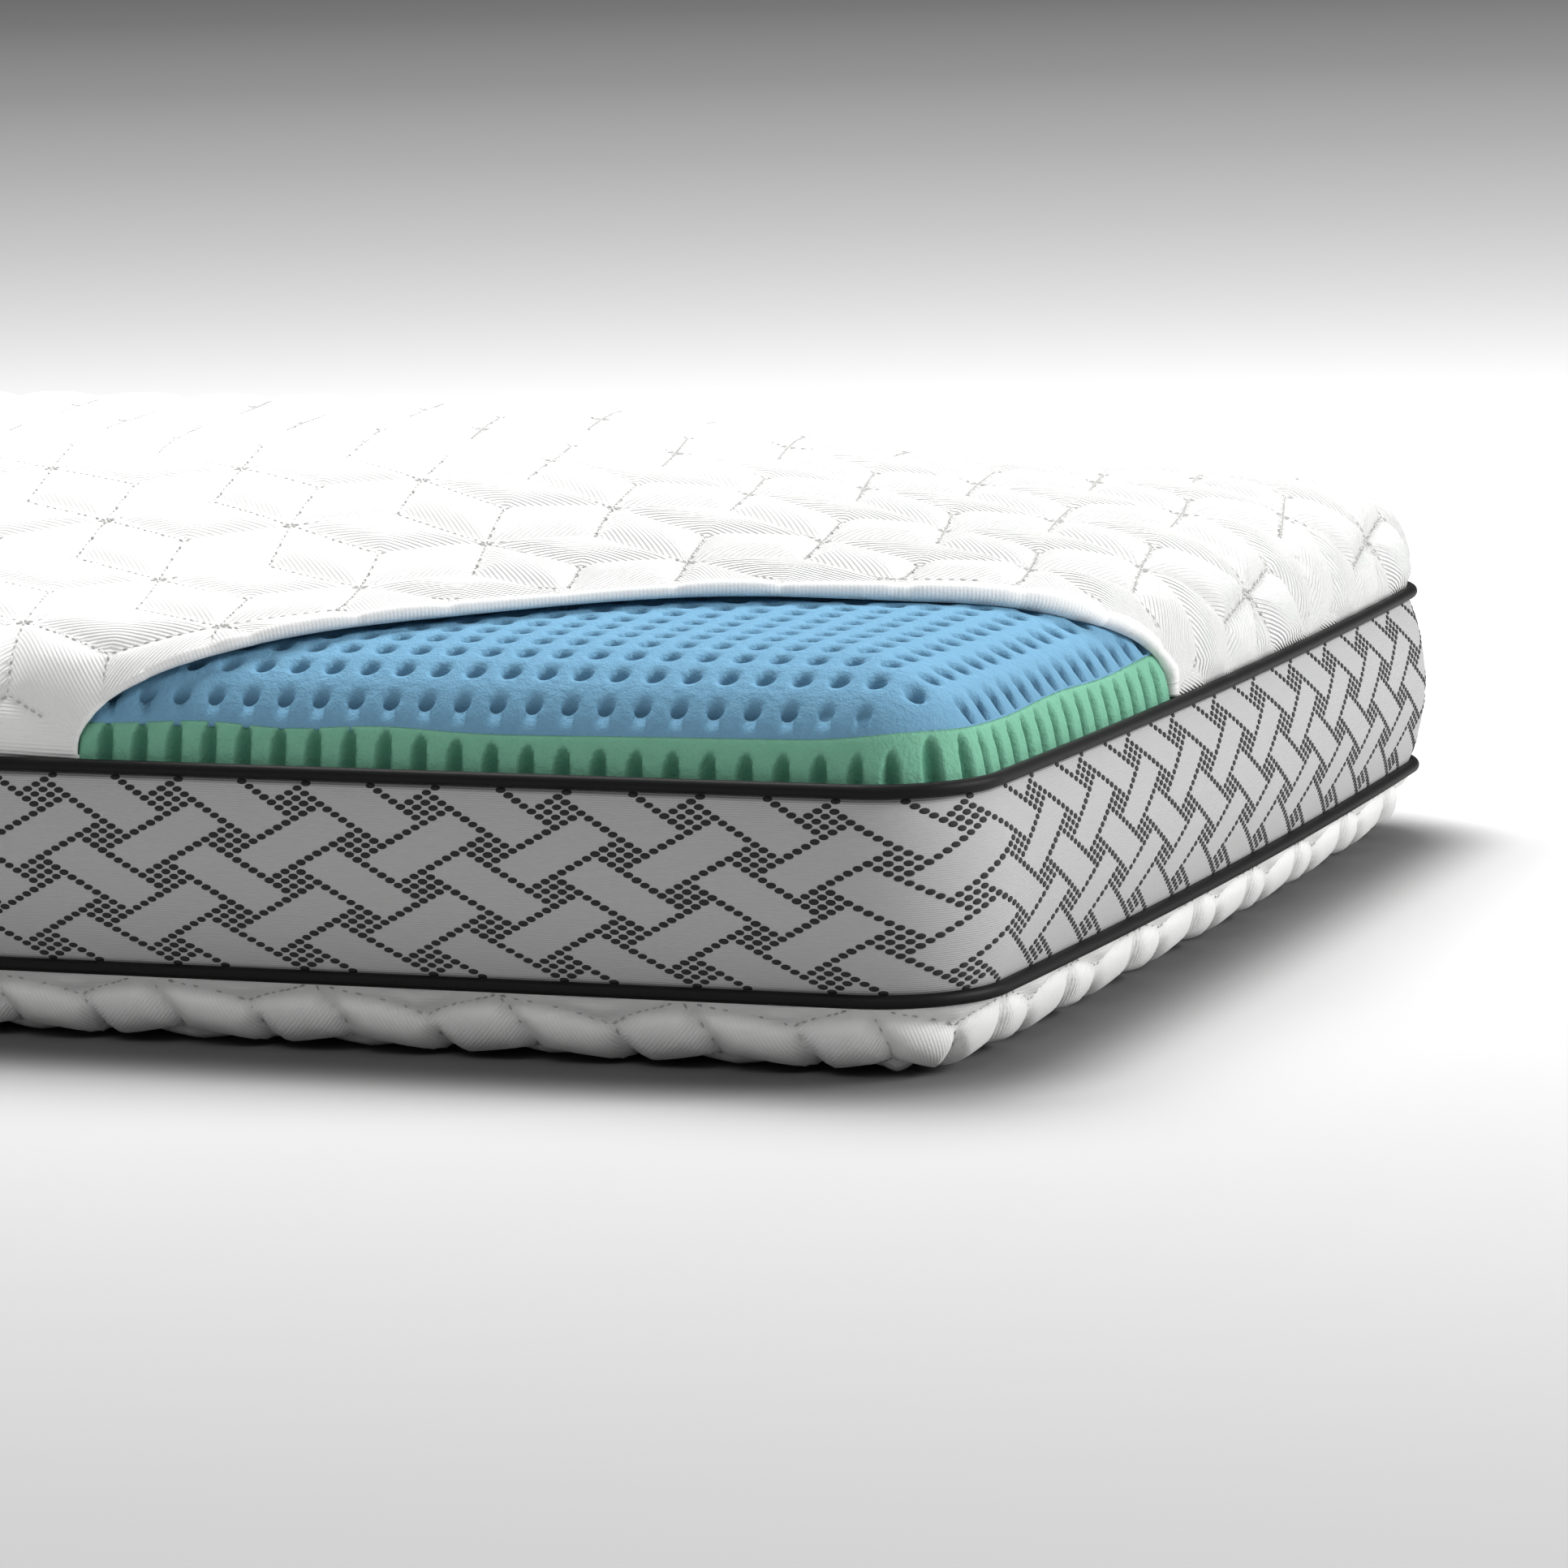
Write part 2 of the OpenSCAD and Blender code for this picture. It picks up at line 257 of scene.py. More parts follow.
def seam_lines(step, bend_step, fine=None):
    """Distances round the seam: coarse on the straights, finer round the corners and in the fine stretch."""
    edges, at = [], 0.0
    for turn in range(4):
        for run, size in ((SIDE_W if turn % 2 == 0 else SIDE_L, step), (ARC, bend_step)):
            edges.append(np.linspace(at, at + run, max(2, round(run / size)) + 1)[:-1])
            at += run
    lines = np.concatenate(edges)
    if fine is not None:
        first, last, size = fine
        lines = lines[(lines < first) | (lines > last)]
        lines = np.sort(np.concatenate([lines, np.arange(first, last, size)]))
    return lines


def swept(lines, depths, heights):
    """Points of a profile swept round the seam: one row for each pair of depth and height."""
    x, y, nx, ny = outline_at(lines)
    depths, heights = np.broadcast_arrays(np.asarray(depths)[:, None], np.asarray(heights)[:, None])
    d = depths + 0 * x[None, :]
    return np.stack([x - nx * d, y - ny * d, heights + 0 * d], -1)


def strip_faces(rows, cols, closed=False):
    """Quads of a strip that closes round the seam, and also round its profile when closed."""
    last = rows if closed else rows - 1
    j, i = np.meshgrid(np.arange(last), np.arange(cols), indexing="ij")
    up, on = (j + 1) % rows, (i + 1) % cols
    quads = np.stack([j * cols + i, j * cols + on, up * cols + on, up * cols + i], -1)
    return quads.reshape(-1, 4)


def open_edges(faces):
    """Directed edges that only one face uses."""
    n = faces.shape[1]
    pairs = np.concatenate([faces[:, [k, (k + 1) % n]] for k in range(n)])
    size = int(faces.max()) + 1
    code = pairs[:, 0] * size + pairs[:, 1]
    back = pairs[:, 1] * size + pairs[:, 0]
    return pairs[~np.isin(code, back)]


def point_normals(points, faces):
    """Area-weighted normals of the points."""
    a, b, c = points[faces[:, 0]], points[faces[:, 1]], points[faces[:, 2]]
    flat = np.cross(b - a, c - a)
    if faces.shape[1] == 4:
        flat = np.cross(c - a, points[faces[:, 3]] - b)
    out = np.zeros_like(points)
    for k in range(faces.shape[1]):
        np.add.at(out, faces[:, k], flat)
    return out / np.maximum(np.linalg.norm(out, axis=1, keepdims=True), 1e-12)


def shell(outer, faces, thickness):
    """Closes a sheet into a thin solid: its points, its faces and its wall faces."""
    n = len(outer)
    inner = outer - point_normals(outer, faces) * thickness
    edges = open_edges(faces)
    walls = np.stack([edges[:, 0], edges[:, 0] + n, edges[:, 1] + n, edges[:, 1]], -1)
    return np.concatenate([outer, inner]), np.concatenate([faces, faces[:, ::-1] + n, walls])


print("round the seam", round(ROUND, 3), "m")

# %% [markdown]
# ## Materials
# The real cover is a white polyester knit over fibre: matt, slightly fuzzy, with fine ribs.
# Foam is open-celled, so it has no gloss at all and a grain of tiny cells. The piping is a woven black tape.


# %% Materials
def new_material(name, base, roughness, sheen=0.0):
    """A Principled material with its constants set on the shader."""
    made = bpy.data.materials.new(name)
    made.use_nodes = True
    made.node_tree.nodes.clear()
    tree = made.node_tree
    shader = add_node(tree, "ShaderNodeBsdfPrincipled", {
        "Base Color": colour(base), "Roughness": roughness, "Sheen Weight": sheen, "Sheen Roughness": 0.5,
    })
    shader.inputs["Specular IOR Level"].default_value = 0.2
    add_node(tree, "ShaderNodeOutputMaterial", {"Surface": shader.outputs[0]})
    return made, tree, shader


def object_noise(tree, pitch, detail=2.0):
    """Noise in the piece's own coordinates, with a feature size in metres."""
    place = add_node(tree, "ShaderNodeTexCoord")
    return add_node(tree, "ShaderNodeTexNoise", {
        "Vector": place.outputs["Object"], "Scale": 1 / pitch, "Detail": detail, "Roughness": 0.6,
    })


def mottle(tree, shader, base, other, pitch):
    """Lets the colour drift a little between two close shades."""
    noise = object_noise(tree, pitch)
    mix = add_node(tree, "ShaderNodeMix", {
        "Factor": noise.outputs["Fac"], "A": colour(base), "B": colour(other),
    }, data_type="RGBA")
    mix.inputs[6].default_value = colour(base)
    mix.inputs[7].default_value = colour(other)
    tree.links.new(mix.outputs[2], shader.inputs["Base Color"])


def grain(tree, shader, pitch, height, more=None):
    """A bump of fine grain, added to another height when one is given."""
    noise = object_noise(tree, pitch, 3.0)
    value = add_node(tree, "ShaderNodeMath", {0: noise.outputs["Fac"], 1: height}, operation="MULTIPLY").outputs[0]
    if more is not None:
        value = add_node(tree, "ShaderNodeMath", {0: value, 1: more}, operation="ADD").outputs[0]
    bump = add_node(tree, "ShaderNodeBump", {"Height": value, "Distance": 1.0, "Strength": 1.0})
    tree.links.new(bump.outputs[0], shader.inputs["Normal"])


def ribs(tree, layer, pitch, height):
    """A ribbed height: the layer's first coordinate runs across the ribs, the second is their strength."""
    place = add_node(tree, "ShaderNodeUVMap", uv_map=layer)
    parts = add_node(tree, "ShaderNodeSeparateXYZ", {0: place.outputs[0]})
    turn = add_node(tree, "ShaderNodeMath", {0: parts.outputs[0], 1: 2 * math.pi / pitch}, operation="MULTIPLY")
    wave = add_node(tree, "ShaderNodeMath", {0: turn.outputs[0]}, operation="SINE")
    strong = add_node(tree, "ShaderNodeMath", {0: wave.outputs[0], 1: parts.outputs[1]}, operation="MULTIPLY")
    return add_node(tree, "ShaderNodeMath", {0: strong.outputs[0], 1: height}, operation="MULTIPLY").outputs[0]


RIB_PITCH = 2.4 * MM

# white knit: bright, matt and softly ribbed
cover_white, tree, shader = new_material("cover white", "#ebebea", 0.9, 0.25)
grain(tree, shader, 1.2 * MM, 0.25 * MM, ribs(tree, "ribs", RIB_PITCH, 0.22 * MM))

# thread of the quilting: painted a shade darker than the knit, for the shadow it sits in down in the seams
thread_in_painted_shade, tree, shader = new_material("quilting thread", "#b8b8b6", 0.7)

# grey border knit: courses run along the border, so its bump is fine horizontal lines
border_grey, tree, shader = new_material("border grey", "#b0b0b0", 0.85, 0.15)
grain(tree, shader, 1.0 * MM, 0.12 * MM, ribs(tree, "courses", 1.3 * MM, 0.07 * MM))

# the dark yarn of the dots: same knit, dyed almost black
dot_dark, tree, shader = new_material("dot yarn", "#2b2b2b", 0.75, 0.1)

# woven black piping tape: matt with a soft highlight along its top
piping_black, tree, shader = new_material("piping black", "#0b0b0b", 0.55, 0.0)
grain(tree, shader, 0.8 * MM, 0.08 * MM)


def foam_material(name, base, other, painted_dent_shade):
    """Open-celled foam: no gloss, small pores, a slightly uneven tone, and painted shade down in its holes and
    grooves.
    """
    made, tree, shader = new_material(name, base, 1.0)
    shader.inputs["Specular IOR Level"].default_value = 0.05
    mottle(tree, shader, base, other, 9 * MM)
    coarse = object_noise(tree, 5 * MM, 2.0)
    rise = add_node(tree, "ShaderNodeMath", {0: coarse.outputs["Fac"], 1: 1.3 * MM}, operation="MULTIPLY")
    grain(tree, shader, 1.5 * MM, 0.7 * MM, rise.outputs[0])
    even = shader.inputs["Base Color"].links[0].from_socket
    # painted shade: the colour is mixed towards a darker one by how far down in a hole or groove a point lies
    dent = add_node(tree, "ShaderNodeAttribute", attribute_name="dent")
    mix = add_node(tree, "ShaderNodeMix", {"Factor": dent.outputs["Fac"]}, data_type="RGBA")
    tree.links.new(even, mix.inputs[6])
    mix.inputs[7].default_value = colour(painted_dent_shade)
    tree.links.new(mix.outputs[2], shader.inputs["Base Color"])
    return made


# each foam's last colour is the painted shade for its holes and grooves; the cream foams repeat their own colour
# there
foam_blue = foam_material("foam blue", "#6d9bb9", "#76a4c1", "#36566c")
foam_green = foam_material("foam green", "#74ae93", "#7eb89e", "#447862")
foam_support = foam_material("foam support", "#efe9d6", "#f3eedf", "#efe9d6")
foam_base = foam_material("foam base", "#e6dfc6", "#ebe5cf", "#e6dfc6")


def set_dent_painted_shade(made, values):
    """Writes how far down in a dent each point is, from 0 to 1, which is how much painted shade it gets."""
    layer = made.data.attributes.new("dent", "FLOAT", "POINT")
    layer.data.foreach_set("value", np.asarray(values, np.float32))


fibre_white, tree, shader = new_material("quilting fibre", "#f4f4f4", 1.0, 0.4)
grain(tree, shader, 2.0 * MM, 1.0 * MM)
backing_white, tree, shader = new_material("nonwoven backing", "#e4e4e4", 0.9)
grain(tree, shader, 1.0 * MM, 0.1 * MM)
cord_cotton, tree, shader = new_material("cotton cord", "#e9e2d2", 0.9, 0.2)
grain(tree, shader, 1.0 * MM, 0.3 * MM)
zip_tape_grey, tree, shader = new_material("zip tape", "#8c8c8c", 0.8, 0.1)
grain(tree, shader, 0.6 * MM, 0.1 * MM)
# nylon coil: smooth plastic with a small sharp highlight
zip_teeth_grey, tree, shader = new_material("zip teeth", "#707070", 0.35)
# die-cast zinc: bare metal, brushed by tumbling
zip_metal, tree, shader = new_material("zip metal", "#c9c9c6", 0.3)
shader.inputs["Metallic"].default_value = 1.0
shader.inputs["Specular IOR Level"].default_value = 0.5
print("materials", len(bpy.data.materials))


# %% [markdown]
# Grids are made in plan and trimmed along a curve: triangles that cross the curve are cut exactly on it.


# %% Plan grids
def plan_grid(xs, ys):
    """Plan points and triangles of a grid, anticlockwise from above."""
    x, y = np.meshgrid(xs, ys)
    cols = len(xs)
    j, i = np.meshgrid(np.arange(len(ys) - 1), np.arange(cols - 1), indexing="ij")
    a = (j * cols + i).ravel()
    tris = np.concatenate([np.stack([a, a + 1, a + cols + 1], -1), np.stack([a, a + cols + 1, a + cols], -1)])
    return np.stack([x.ravel(), y.ravel()], -1), tris


def trimmed(points, tris, keep):
    """Keeps the part of a grid where keep is positive. Returns the points, the triangles, and which are new."""
    inside = keep > 0
    count = inside[tris].sum(1)
    whole = tris[count == 3]
    extra, made, cut_tris = [], {}, []

    def crossing(a, b):
        key = (min(a, b), max(a, b))
        if key not in made:
            t = keep[key[0]] / (keep[key[0]] - keep[key[1]])
            made[key] = len(points) + len(extra)
            extra.append(points[key[0]] * (1 - t) + points[key[1]] * t)
        return made[key]

    for tri in tris[(count == 1) | (count == 2)]:
        loop = []
        for k in range(3):
            a, b = int(tri[k]), int(tri[(k + 1) % 3])
            if inside[a]:
                loop.append(a)
            if inside[a] != inside[b]:
                loop.append(crossing(a, b))
        cut_tris += [[loop[0], loop[k], loop[k + 1]] for k in range(1, len(loop) - 1)]
    every = np.concatenate([points, np.array(extra).reshape(-1, 2)])
    faces = np.concatenate([whole, np.array(cut_tris, int).reshape(-1, 3)])
    used, fresh = np.unique(faces, return_inverse=True)
    return every[used], fresh.reshape(-1, 3), used >= len(points)


def lines_between(*stops):
    """Positions from stop to stop: pairs of a position and the step that follows it."""
    runs = []
    for (a, step), (b, _) in zip(stops[:-1], stops[1:]):
        runs.append(np.linspace(a, b, max(1, round((b - a) / step)) + 1)[:-1])
    return np.concatenate(runs + [[stops[-1][0]]])


# %% [markdown]
# ## Blue comfort foam
# The real layer is poured memory foam punched with a square pattern of blind holes. Each hole is a round dent
# with a soft lip. The grid is lined up with the holes, and the squares of the grid round each hole are pulled
# into circles, so the holes come out round with few faces. The dents are only made where the cut shows them.

# %% Blue comfort foam
CELLS = 12
step = HOLE_PITCH / CELLS
HOLE_COLS, HOLE_ROWS = 27, 18
HOLE_DEPTH = 25 * MM

right_start = HOLE_X - (HOLE_COLS - 0.5) * HOLE_PITCH
front_end = HOLE_Y + (HOLE_ROWS - 0.5) * HOLE_PITCH
xs = np.concatenate([
    lines_between((-HALF_L, 16 * MM), (right_start, 1))[:-1],
    right_start + step * np.arange(round((HALF_L - right_start) / step) + 1),
])
ys = np.concatenate([
    front_end - step * np.arange(round((front_end + HALF_W) / step), -1, -1),
    lines_between((front_end, 16 * MM), (HALF_W, 1))[1:],
])


def foam_edge_z(x, y):
    """Height of the line where blue foam meets green: a hand-glued line, a little higher on the short side."""
    wander = 1.3 * MM * np.sin(x / 0.031 + 2 * np.sin(x / 0.083)) + 1.0 * MM * np.sin(y / 0.027)
    return BLUE_Z + 1 * MM + wander + 5 * MM * smooth_step(HALF_L - 0.10, HALF_L - 0.02, x)


def foam_depth_at(z):
    """How far in from the seam the foam's surface is at a height."""
    return FOAM_IN + SHOULDER_W * undome((z - RIM_Z) / FOAM_RISE)


flat, tris = plan_grid(xs, ys)
keep = depth_of(flat[:, 0], flat[:, 1]) - foam_depth_at(foam_edge_z(flat[:, 0], flat[:, 1]))
flat, tris, edge_new = trimmed(flat, tris, keep)

col = np.round((HOLE_X - flat[:, 0]) / HOLE_PITCH)
row = np.round((flat[:, 1] - HOLE_Y) / HOLE_PITCH)
hole = np.stack([HOLE_X - col * HOLE_PITCH, HOLE_Y + row * HOLE_PITCH], -1)
has_hole = (col >= 0) & (col < HOLE_COLS) & (row >= 0) & (row < HOLE_ROWS)
from_rim = depth_of(hole[:, 0], hole[:, 1])
has_hole &= from_rim > 15 * MM
off = flat - hole
reach = np.abs(off).max(1)
radius = np.maximum(np.hypot(off[:, 0], off[:, 1]), 1e-9)
ring_at = step * np.array([0, 1, 2, 3, 4, 5, 6])
ring_r = MM * np.array([0, 2.4, 4.3, 5.4, 6.9, 9.1, 11.375])
target = np.interp(reach, ring_at, ring_r)
roundness = np.interp(reach, ring_at, [1, 1, 1, 1, 1, 0.55, 0])
circle = off / radius[:, None] * target[:, None]
# holes on the steep front edge are punched square to the surface, so they are narrower in plan
steep = 1 + 0.35 * (1 - smooth_step(21 * MM, 34 * MM, hole[:, 1] + HALF_W))
steep_end = 1 + 0.35 * (1 - smooth_step(21 * MM, 34 * MM, HALF_L - hole[:, 0]))
circle /= np.stack([steep_end, steep], -1)
# and those by the rim are measured along the rounded edge, so in plan they sit a little further in
out_x, out_y = outward(hole[:, 0], hole[:, 1])
nudge = -np.column_stack([out_x, out_y]) * np.clip(22 * MM - from_rim, 0, 4.1 * MM)[:, None]
square = off * (target / np.maximum(reach, 1e-9))[:, None]
moved = hole + (circle + nudge) * roundness[:, None] + square * (1 - roundness[:, None])
flat = np.where((has_hole & ~edge_new)[:, None], moved, flat)
hole = hole + nudge

radius = np.hypot((flat[:, 0] - hole[:, 0]) * steep_end, (flat[:, 1] - hole[:, 1]) * steep)
print("rim holes", round(float(HALF_L - HOLE_X) * 1000, 1), round(float(HOLE_Y + HALF_W) * 1000, 1), "mm in")
hole_z = foam_z(hole[:, 0], hole[:, 1])
dent = np.interp(radius, MM * np.array([0, 2.4, 4.3, 5.4, 6.9, 9.1]), [1, 0.97, 0.86, 0.13, 0.025, 0])
z = foam_z(flat[:, 0], flat[:, 1])
floor_z = np.maximum(hole_z - HOLE_DEPTH, BLUE_Z + 2 * MM)
# the hole at the very corner is a shallow dent, as it meets the green layer there
dent = np.where((row == 0) & (hole[:, 0] > HALF_L - 0.09), 0.3, 1) * dent
z = np.where(has_hole, z - dent * np.maximum(z - floor_z, 0), z)
top = np.column_stack([flat, z])
n = len(top)
under = top.copy()
under[:, 2] = np.minimum(BLUE_Z - 1 * MM, z - 0.5 * MM)
edges = open_edges(tris)
walls = np.stack([edges[:, 0], edges[:, 0] + n, edges[:, 1] + n, edges[:, 1]], -1)
faces = tris.tolist() + (tris[:, ::-1] + n).tolist() + walls.tolist()
blue_foam = mesh_object("blue foam", bowed(np.concatenate([top, under])), faces, foam_blue)
# painted shade: points down in the holes take the foam's darker shade colour
shade = np.where(has_hole, dent, 0)
set_dent_painted_shade(blue_foam, np.concatenate([shade, 0 * shade]))
print("blue foam faces", len(faces))

# %% [markdown]
# ## Green airflow foam
# Its side shows under the blue layer. Half-round grooves run down it, one for every row of holes.

# %% Green airflow foam
GROOVE_R = 5.2 * MM
GROOVE_TIP = 0.44  # length of a groove's rounded end, as a share of the band
lines = seam_lines(10 * MM, 4 * MM, (FRONT_START + SIDE_L - 0.68, RIGHT_START + 0.46, HOLE_PITCH / CELLS))
gx, gy, _, _ = outline_at(lines)
top_z = foam_edge_z(gx, gy)
rows_z = np.concatenate([
    GREEN_Z + (RIM_Z - 4 * MM - GREEN_Z) * np.linspace(0, 1, 4)[:-1],
    RIM_Z - 4 * MM + np.linspace(0, 1, 16)[:-1] * (BLUE_Z + 1 * MM - RIM_Z + 4 * MM),
])
points = []
on_front = (lines > FRONT_START - ARC / 2) & (lines < FRONT_START + SIDE_L + ARC * 0.42)
on_right = (lines >= FRONT_START + SIDE_L + ARC * 0.42) & (lines < RIGHT_START + SIDE_W)
groove = np.where(on_front, gx - HOLE_X, np.where(on_right, gy - HOLE_Y, 0.5 * HOLE_PITCH)) / HOLE_PITCH
groove = np.abs(groove - np.round(groove)) * HOLE_PITCH
# along the front the grooves run the whole height; towards the corner they stop lower
groove_end = np.where(on_right, 0.45, 0.55 - 0.29 * smooth_step(0.50, 0.78, gx))
shades = []
for z in rows_z:
    share = (z - RIM_Z + 4 * MM) / (BLUE_Z + 1 * MM - RIM_Z + 4 * MM)
    height = z + (top_z - BLUE_Z - 1 * MM) * np.clip(share, 0, 1)
    tip = np.clip((share - groove_end) / GROOVE_TIP, 0, 1)
    round_top = np.sqrt(np.clip(1 - (groove / GROOVE_R) ** 2 - tip ** 2, 0, 1))
    # the foam's foot is pressed against the piping
    depth = foam_depth_at(height) + 5.2 * MM * round_top - 4.6 * MM * (1 - np.clip(share, 0, 1))
    shades.append(round_top)
    points.append(swept(lines, [0], [0])[0] - np.stack([
        outline_at(lines)[2] * depth, outline_at(lines)[3] * depth, -height], -1))
for depth_in, drop in ((0.3, 0.3), (4, 5), (16, 6)):
    depth = foam_depth_at(top_z) + depth_in * MM
    shades.append(0 * lines)
    points.append(swept(lines, [0], [0])[0] - np.stack([
        outline_at(lines)[2] * depth, outline_at(lines)[3] * depth, -(top_z - drop * MM)], -1))
points = np.array(points)
rows, cols = points.shape[:2]
faces = strip_faces(rows, cols).tolist()
faces.append([(rows - 1) * cols + i for i in range(cols)])
faces.append([i for i in range(cols - 1, -1, -1)])
green_foam = mesh_object("green foam", bowed(points.reshape(-1, 3)), faces, foam_green)
# painted shade: the grooves darken by how far in they cut
set_dent_painted_shade(green_foam, np.concatenate(shades))
print("green foam faces", len(faces))

# %% [markdown]
# ## Quilting pattern
# The top is quilted in six-pointed stars made of diamonds, three diamonds to a block. Seams pull the fibre down
# and the diamonds puff up between them. The pattern lives in the fabric's own flat coordinates, so it wraps
# over the shoulders without stretching.

# %% Quilting pattern
STAR_A = np.array([133, 0]) * MM
STAR_B = np.array([45, 100]) * MM
STAR_AT = np.array([374.5, -332]) * MM


def warp(p):
    """Quilting wanders a few millimetres from its drawn lines."""
    wx = 3.2 * MM * np.sin(p[..., 1] / 0.055 + 1.7 * np.sin(p[..., 0] / 0.12))
    wy = 3.2 * MM * np.sin(p[..., 0] / 0.061 + 1.3 * np.sin(p[..., 1] / 0.10))
    return np.stack([wx, wy], -1)


def star_cell(p, star_a, star_b, at):
    """The lattice triangle that holds each point: its three corners, and the point's barycentric shares."""
    basis = np.array([star_a, star_b]).T
    ij = (p - at) @ np.linalg.inv(basis).T
    base = np.floor(ij)
    f = ij - base
    upper = f.sum(-1) > 1
    origin = at + base @ basis.T
    c0 = np.where(upper[:, None], origin + star_a + star_b, origin)
    c1 = np.where(upper[:, None], origin + star_b, origin + star_a)
    c2 = np.where(upper[:, None], origin + star_a, origin + star_b)
    share_1 = np.where(upper, 1 - f[:, 0], f[:, 0])
    share_2 = np.where(upper, 1 - f[:, 1], f[:, 1])
    shares = np.stack([1 - share_1 - share_2, share_1, share_2], -1)
    return (c0, c1, c2), shares


def segment_distance(p, a, b):
    t = np.clip(((p - a) * (b - a)).sum(-1) / np.maximum(((b - a) ** 2).sum(-1), 1e-12), 0, 1)
    return np.linalg.norm(p - a - (b - a) * t[:, None], axis=-1)


def quilting(p, star_a=STAR_A, star_b=STAR_B, at=STAR_AT):
    """Distance to the nearest seam and which of the three kinds of diamond each point is in."""
    corners, shares = star_cell(p, star_a, star_b, at)
    kind = shares.argmin(-1)
    stack = np.stack(corners, 1)
    index = np.arange(len(p))
    far = stack[index, kind]
    one = stack[index, (kind + 1) % 3]
    two = stack[index, (kind + 2) % 3]
    middle = (far + one + two) / 3
    across = (2 * one + 2 * two - far) / 3
    sides = [segment_distance(p, middle, one), segment_distance(p, middle, two),
             segment_distance(p, across, one), segment_distance(p, across, two)]
    return np.min(sides, 0), kind


def puff(distance, width, height):
    """How far a diamond rises at a distance from its seams."""
    t = np.clip(distance / width, 0, 1)
    return height * (1 - (1 - t) ** 2.4) ** 0.8


# how much longer the fabric is than its plan, from the rim over the shoulder
table_in = SEAM_IN + SHOULDER_W * np.linspace(0, 1, 4001) ** 3
table_z = SHOULDER_H * dome((table_in - SEAM_IN) / SHOULDER_W)
run = np.concatenate([[0], np.cumsum(np.hypot(np.diff(table_in), np.diff(table_z)))])
table_extra = (run[-1] - run) - (table_in[-1] - table_in)


def extra_at(depth):
    return np.interp(depth, table_in, table_extra)


def to_fabric(x, y):
    """Flat fabric coordinates of plan points."""
    ox, oy = outward(x, y)
    extra = extra_at(depth_of(x, y))
    return np.stack([x + ox * extra, y + oy * extra], -1)


def from_fabric(p):
    """Plan points of flat fabric coordinates."""
    depth = depth_of(p[..., 0], p[..., 1])
    ox, oy = outward(p[..., 0], p[..., 1])
    real = np.interp(depth, table_in - table_extra, table_in)
    real = np.where(depth > table_in[-1], depth, real)
    move = real - depth
    return p - np.stack([ox, oy], -1) * move[..., None]


print("fabric over the shoulder", round(float(run[-1]) * 1000), "mm")

# %% [markdown]
# ## Cut corner
# The cut is a smooth S, from the front side to the short side, given by the same curve as the CAD.


# %% The cut's curve
def bezier(a, b, c, d, steps):
    t = np.linspace(0, 1, steps)[:, None]
    return (1 - t) ** 3 * a + 3 * (1 - t) ** 2 * t * b + 3 * (1 - t) * t * t * c + t ** 3 * d


corner = np.array([HALF_L, -HALF_W])
cut_start = corner + np.array([-579, 0]) * MM
cut_middle = corner + np.array([-265, 195]) * MM
cut_end = corner + np.array([0, 403]) * MM
cut_slope = np.array([115, 70]) * MM
CUT = np.concatenate([
    [cut_start + np.array([-30, -60]) * MM],
    bezier(cut_start, cut_start + np.array([79, 5]) * MM, cut_middle - cut_slope, cut_middle, 150)[:-1],
    bezier(cut_middle, cut_middle + cut_slope, cut_end - np.array([25, 138]) * MM, cut_end, 150),
    [cut_end + np.array([40, 30]) * MM],
])


def cut_distance(p):
    """Distance from the cut, positive on the covered side, and the plan direction out over the bare foam."""
    distance = np.full(len(p), 1.0)
    way = np.zeros((len(p), 2))
    near = (p[:, 0] > HALF_L - 0.80) & (p[:, 1] < -HALF_W + 0.62)
    index = np.nonzero(near)[0]
    a, b = CUT[:-1], CUT[1:]
    run = b - a
    side = np.stack([run[:, 1], -run[:, 0]], -1) / np.linalg.norm(run, axis=1, keepdims=True)
    polygon = np.concatenate([CUT, [corner + np.array([60, -60]) * MM]])
    for part in np.array_split(index, max(1, len(index) // 4000)):
        q = p[part][:, None, :]
        t = np.clip(((q - a) * run).sum(-1) / (run ** 2).sum(-1), 0, 1)
        gap = np.linalg.norm(q - a - run * t[..., None], axis=-1)
        best = gap.argmin(1)
        x, y = p[part, 0][:, None], p[part, 1][:, None]
        x1, y1 = polygon[:, 0], polygon[:, 1]
        x2, y2 = np.roll(x1, -1), np.roll(y1, -1)
        hits = ((y1 > y) != (y2 > y)) & (x < (x2 - x1) * (y - y1) / np.where(y2 == y1, 1e-12, y2 - y1) + x1)
        bare = hits.sum(1) % 2 == 1
        distance[part] = np.where(bare, -1, 1) * gap[np.arange(len(part)), best]
        way[part] = side[best]
    return distance, way


# %% [markdown]
# ## Top panel
# One quilted panel: knit face, fibre and backing sewn as a sandwich about 12 mm thick. Its cut edge is rolled
# over and stands a little clear of the foam, so a dark line of shadow runs under it.

# %% Top panel
U = HALF_L - SEAM_IN + float(table_extra[0])
V = HALF_W - SEAM_IN + float(table_extra[0])


def plan_lines(fabric, half):
    """Plan positions of fabric positions along one axis."""
    plan = np.concatenate([np.linspace(0, half - 0.2, 200)[:-1], half - 0.2 * (1 - np.linspace(0, 1, 6001)) ** 3])
    flat_length = plan + extra_at(half + SEAM_IN - plan)
    return np.sign(fabric) * np.interp(np.abs(fabric), flat_length, plan)


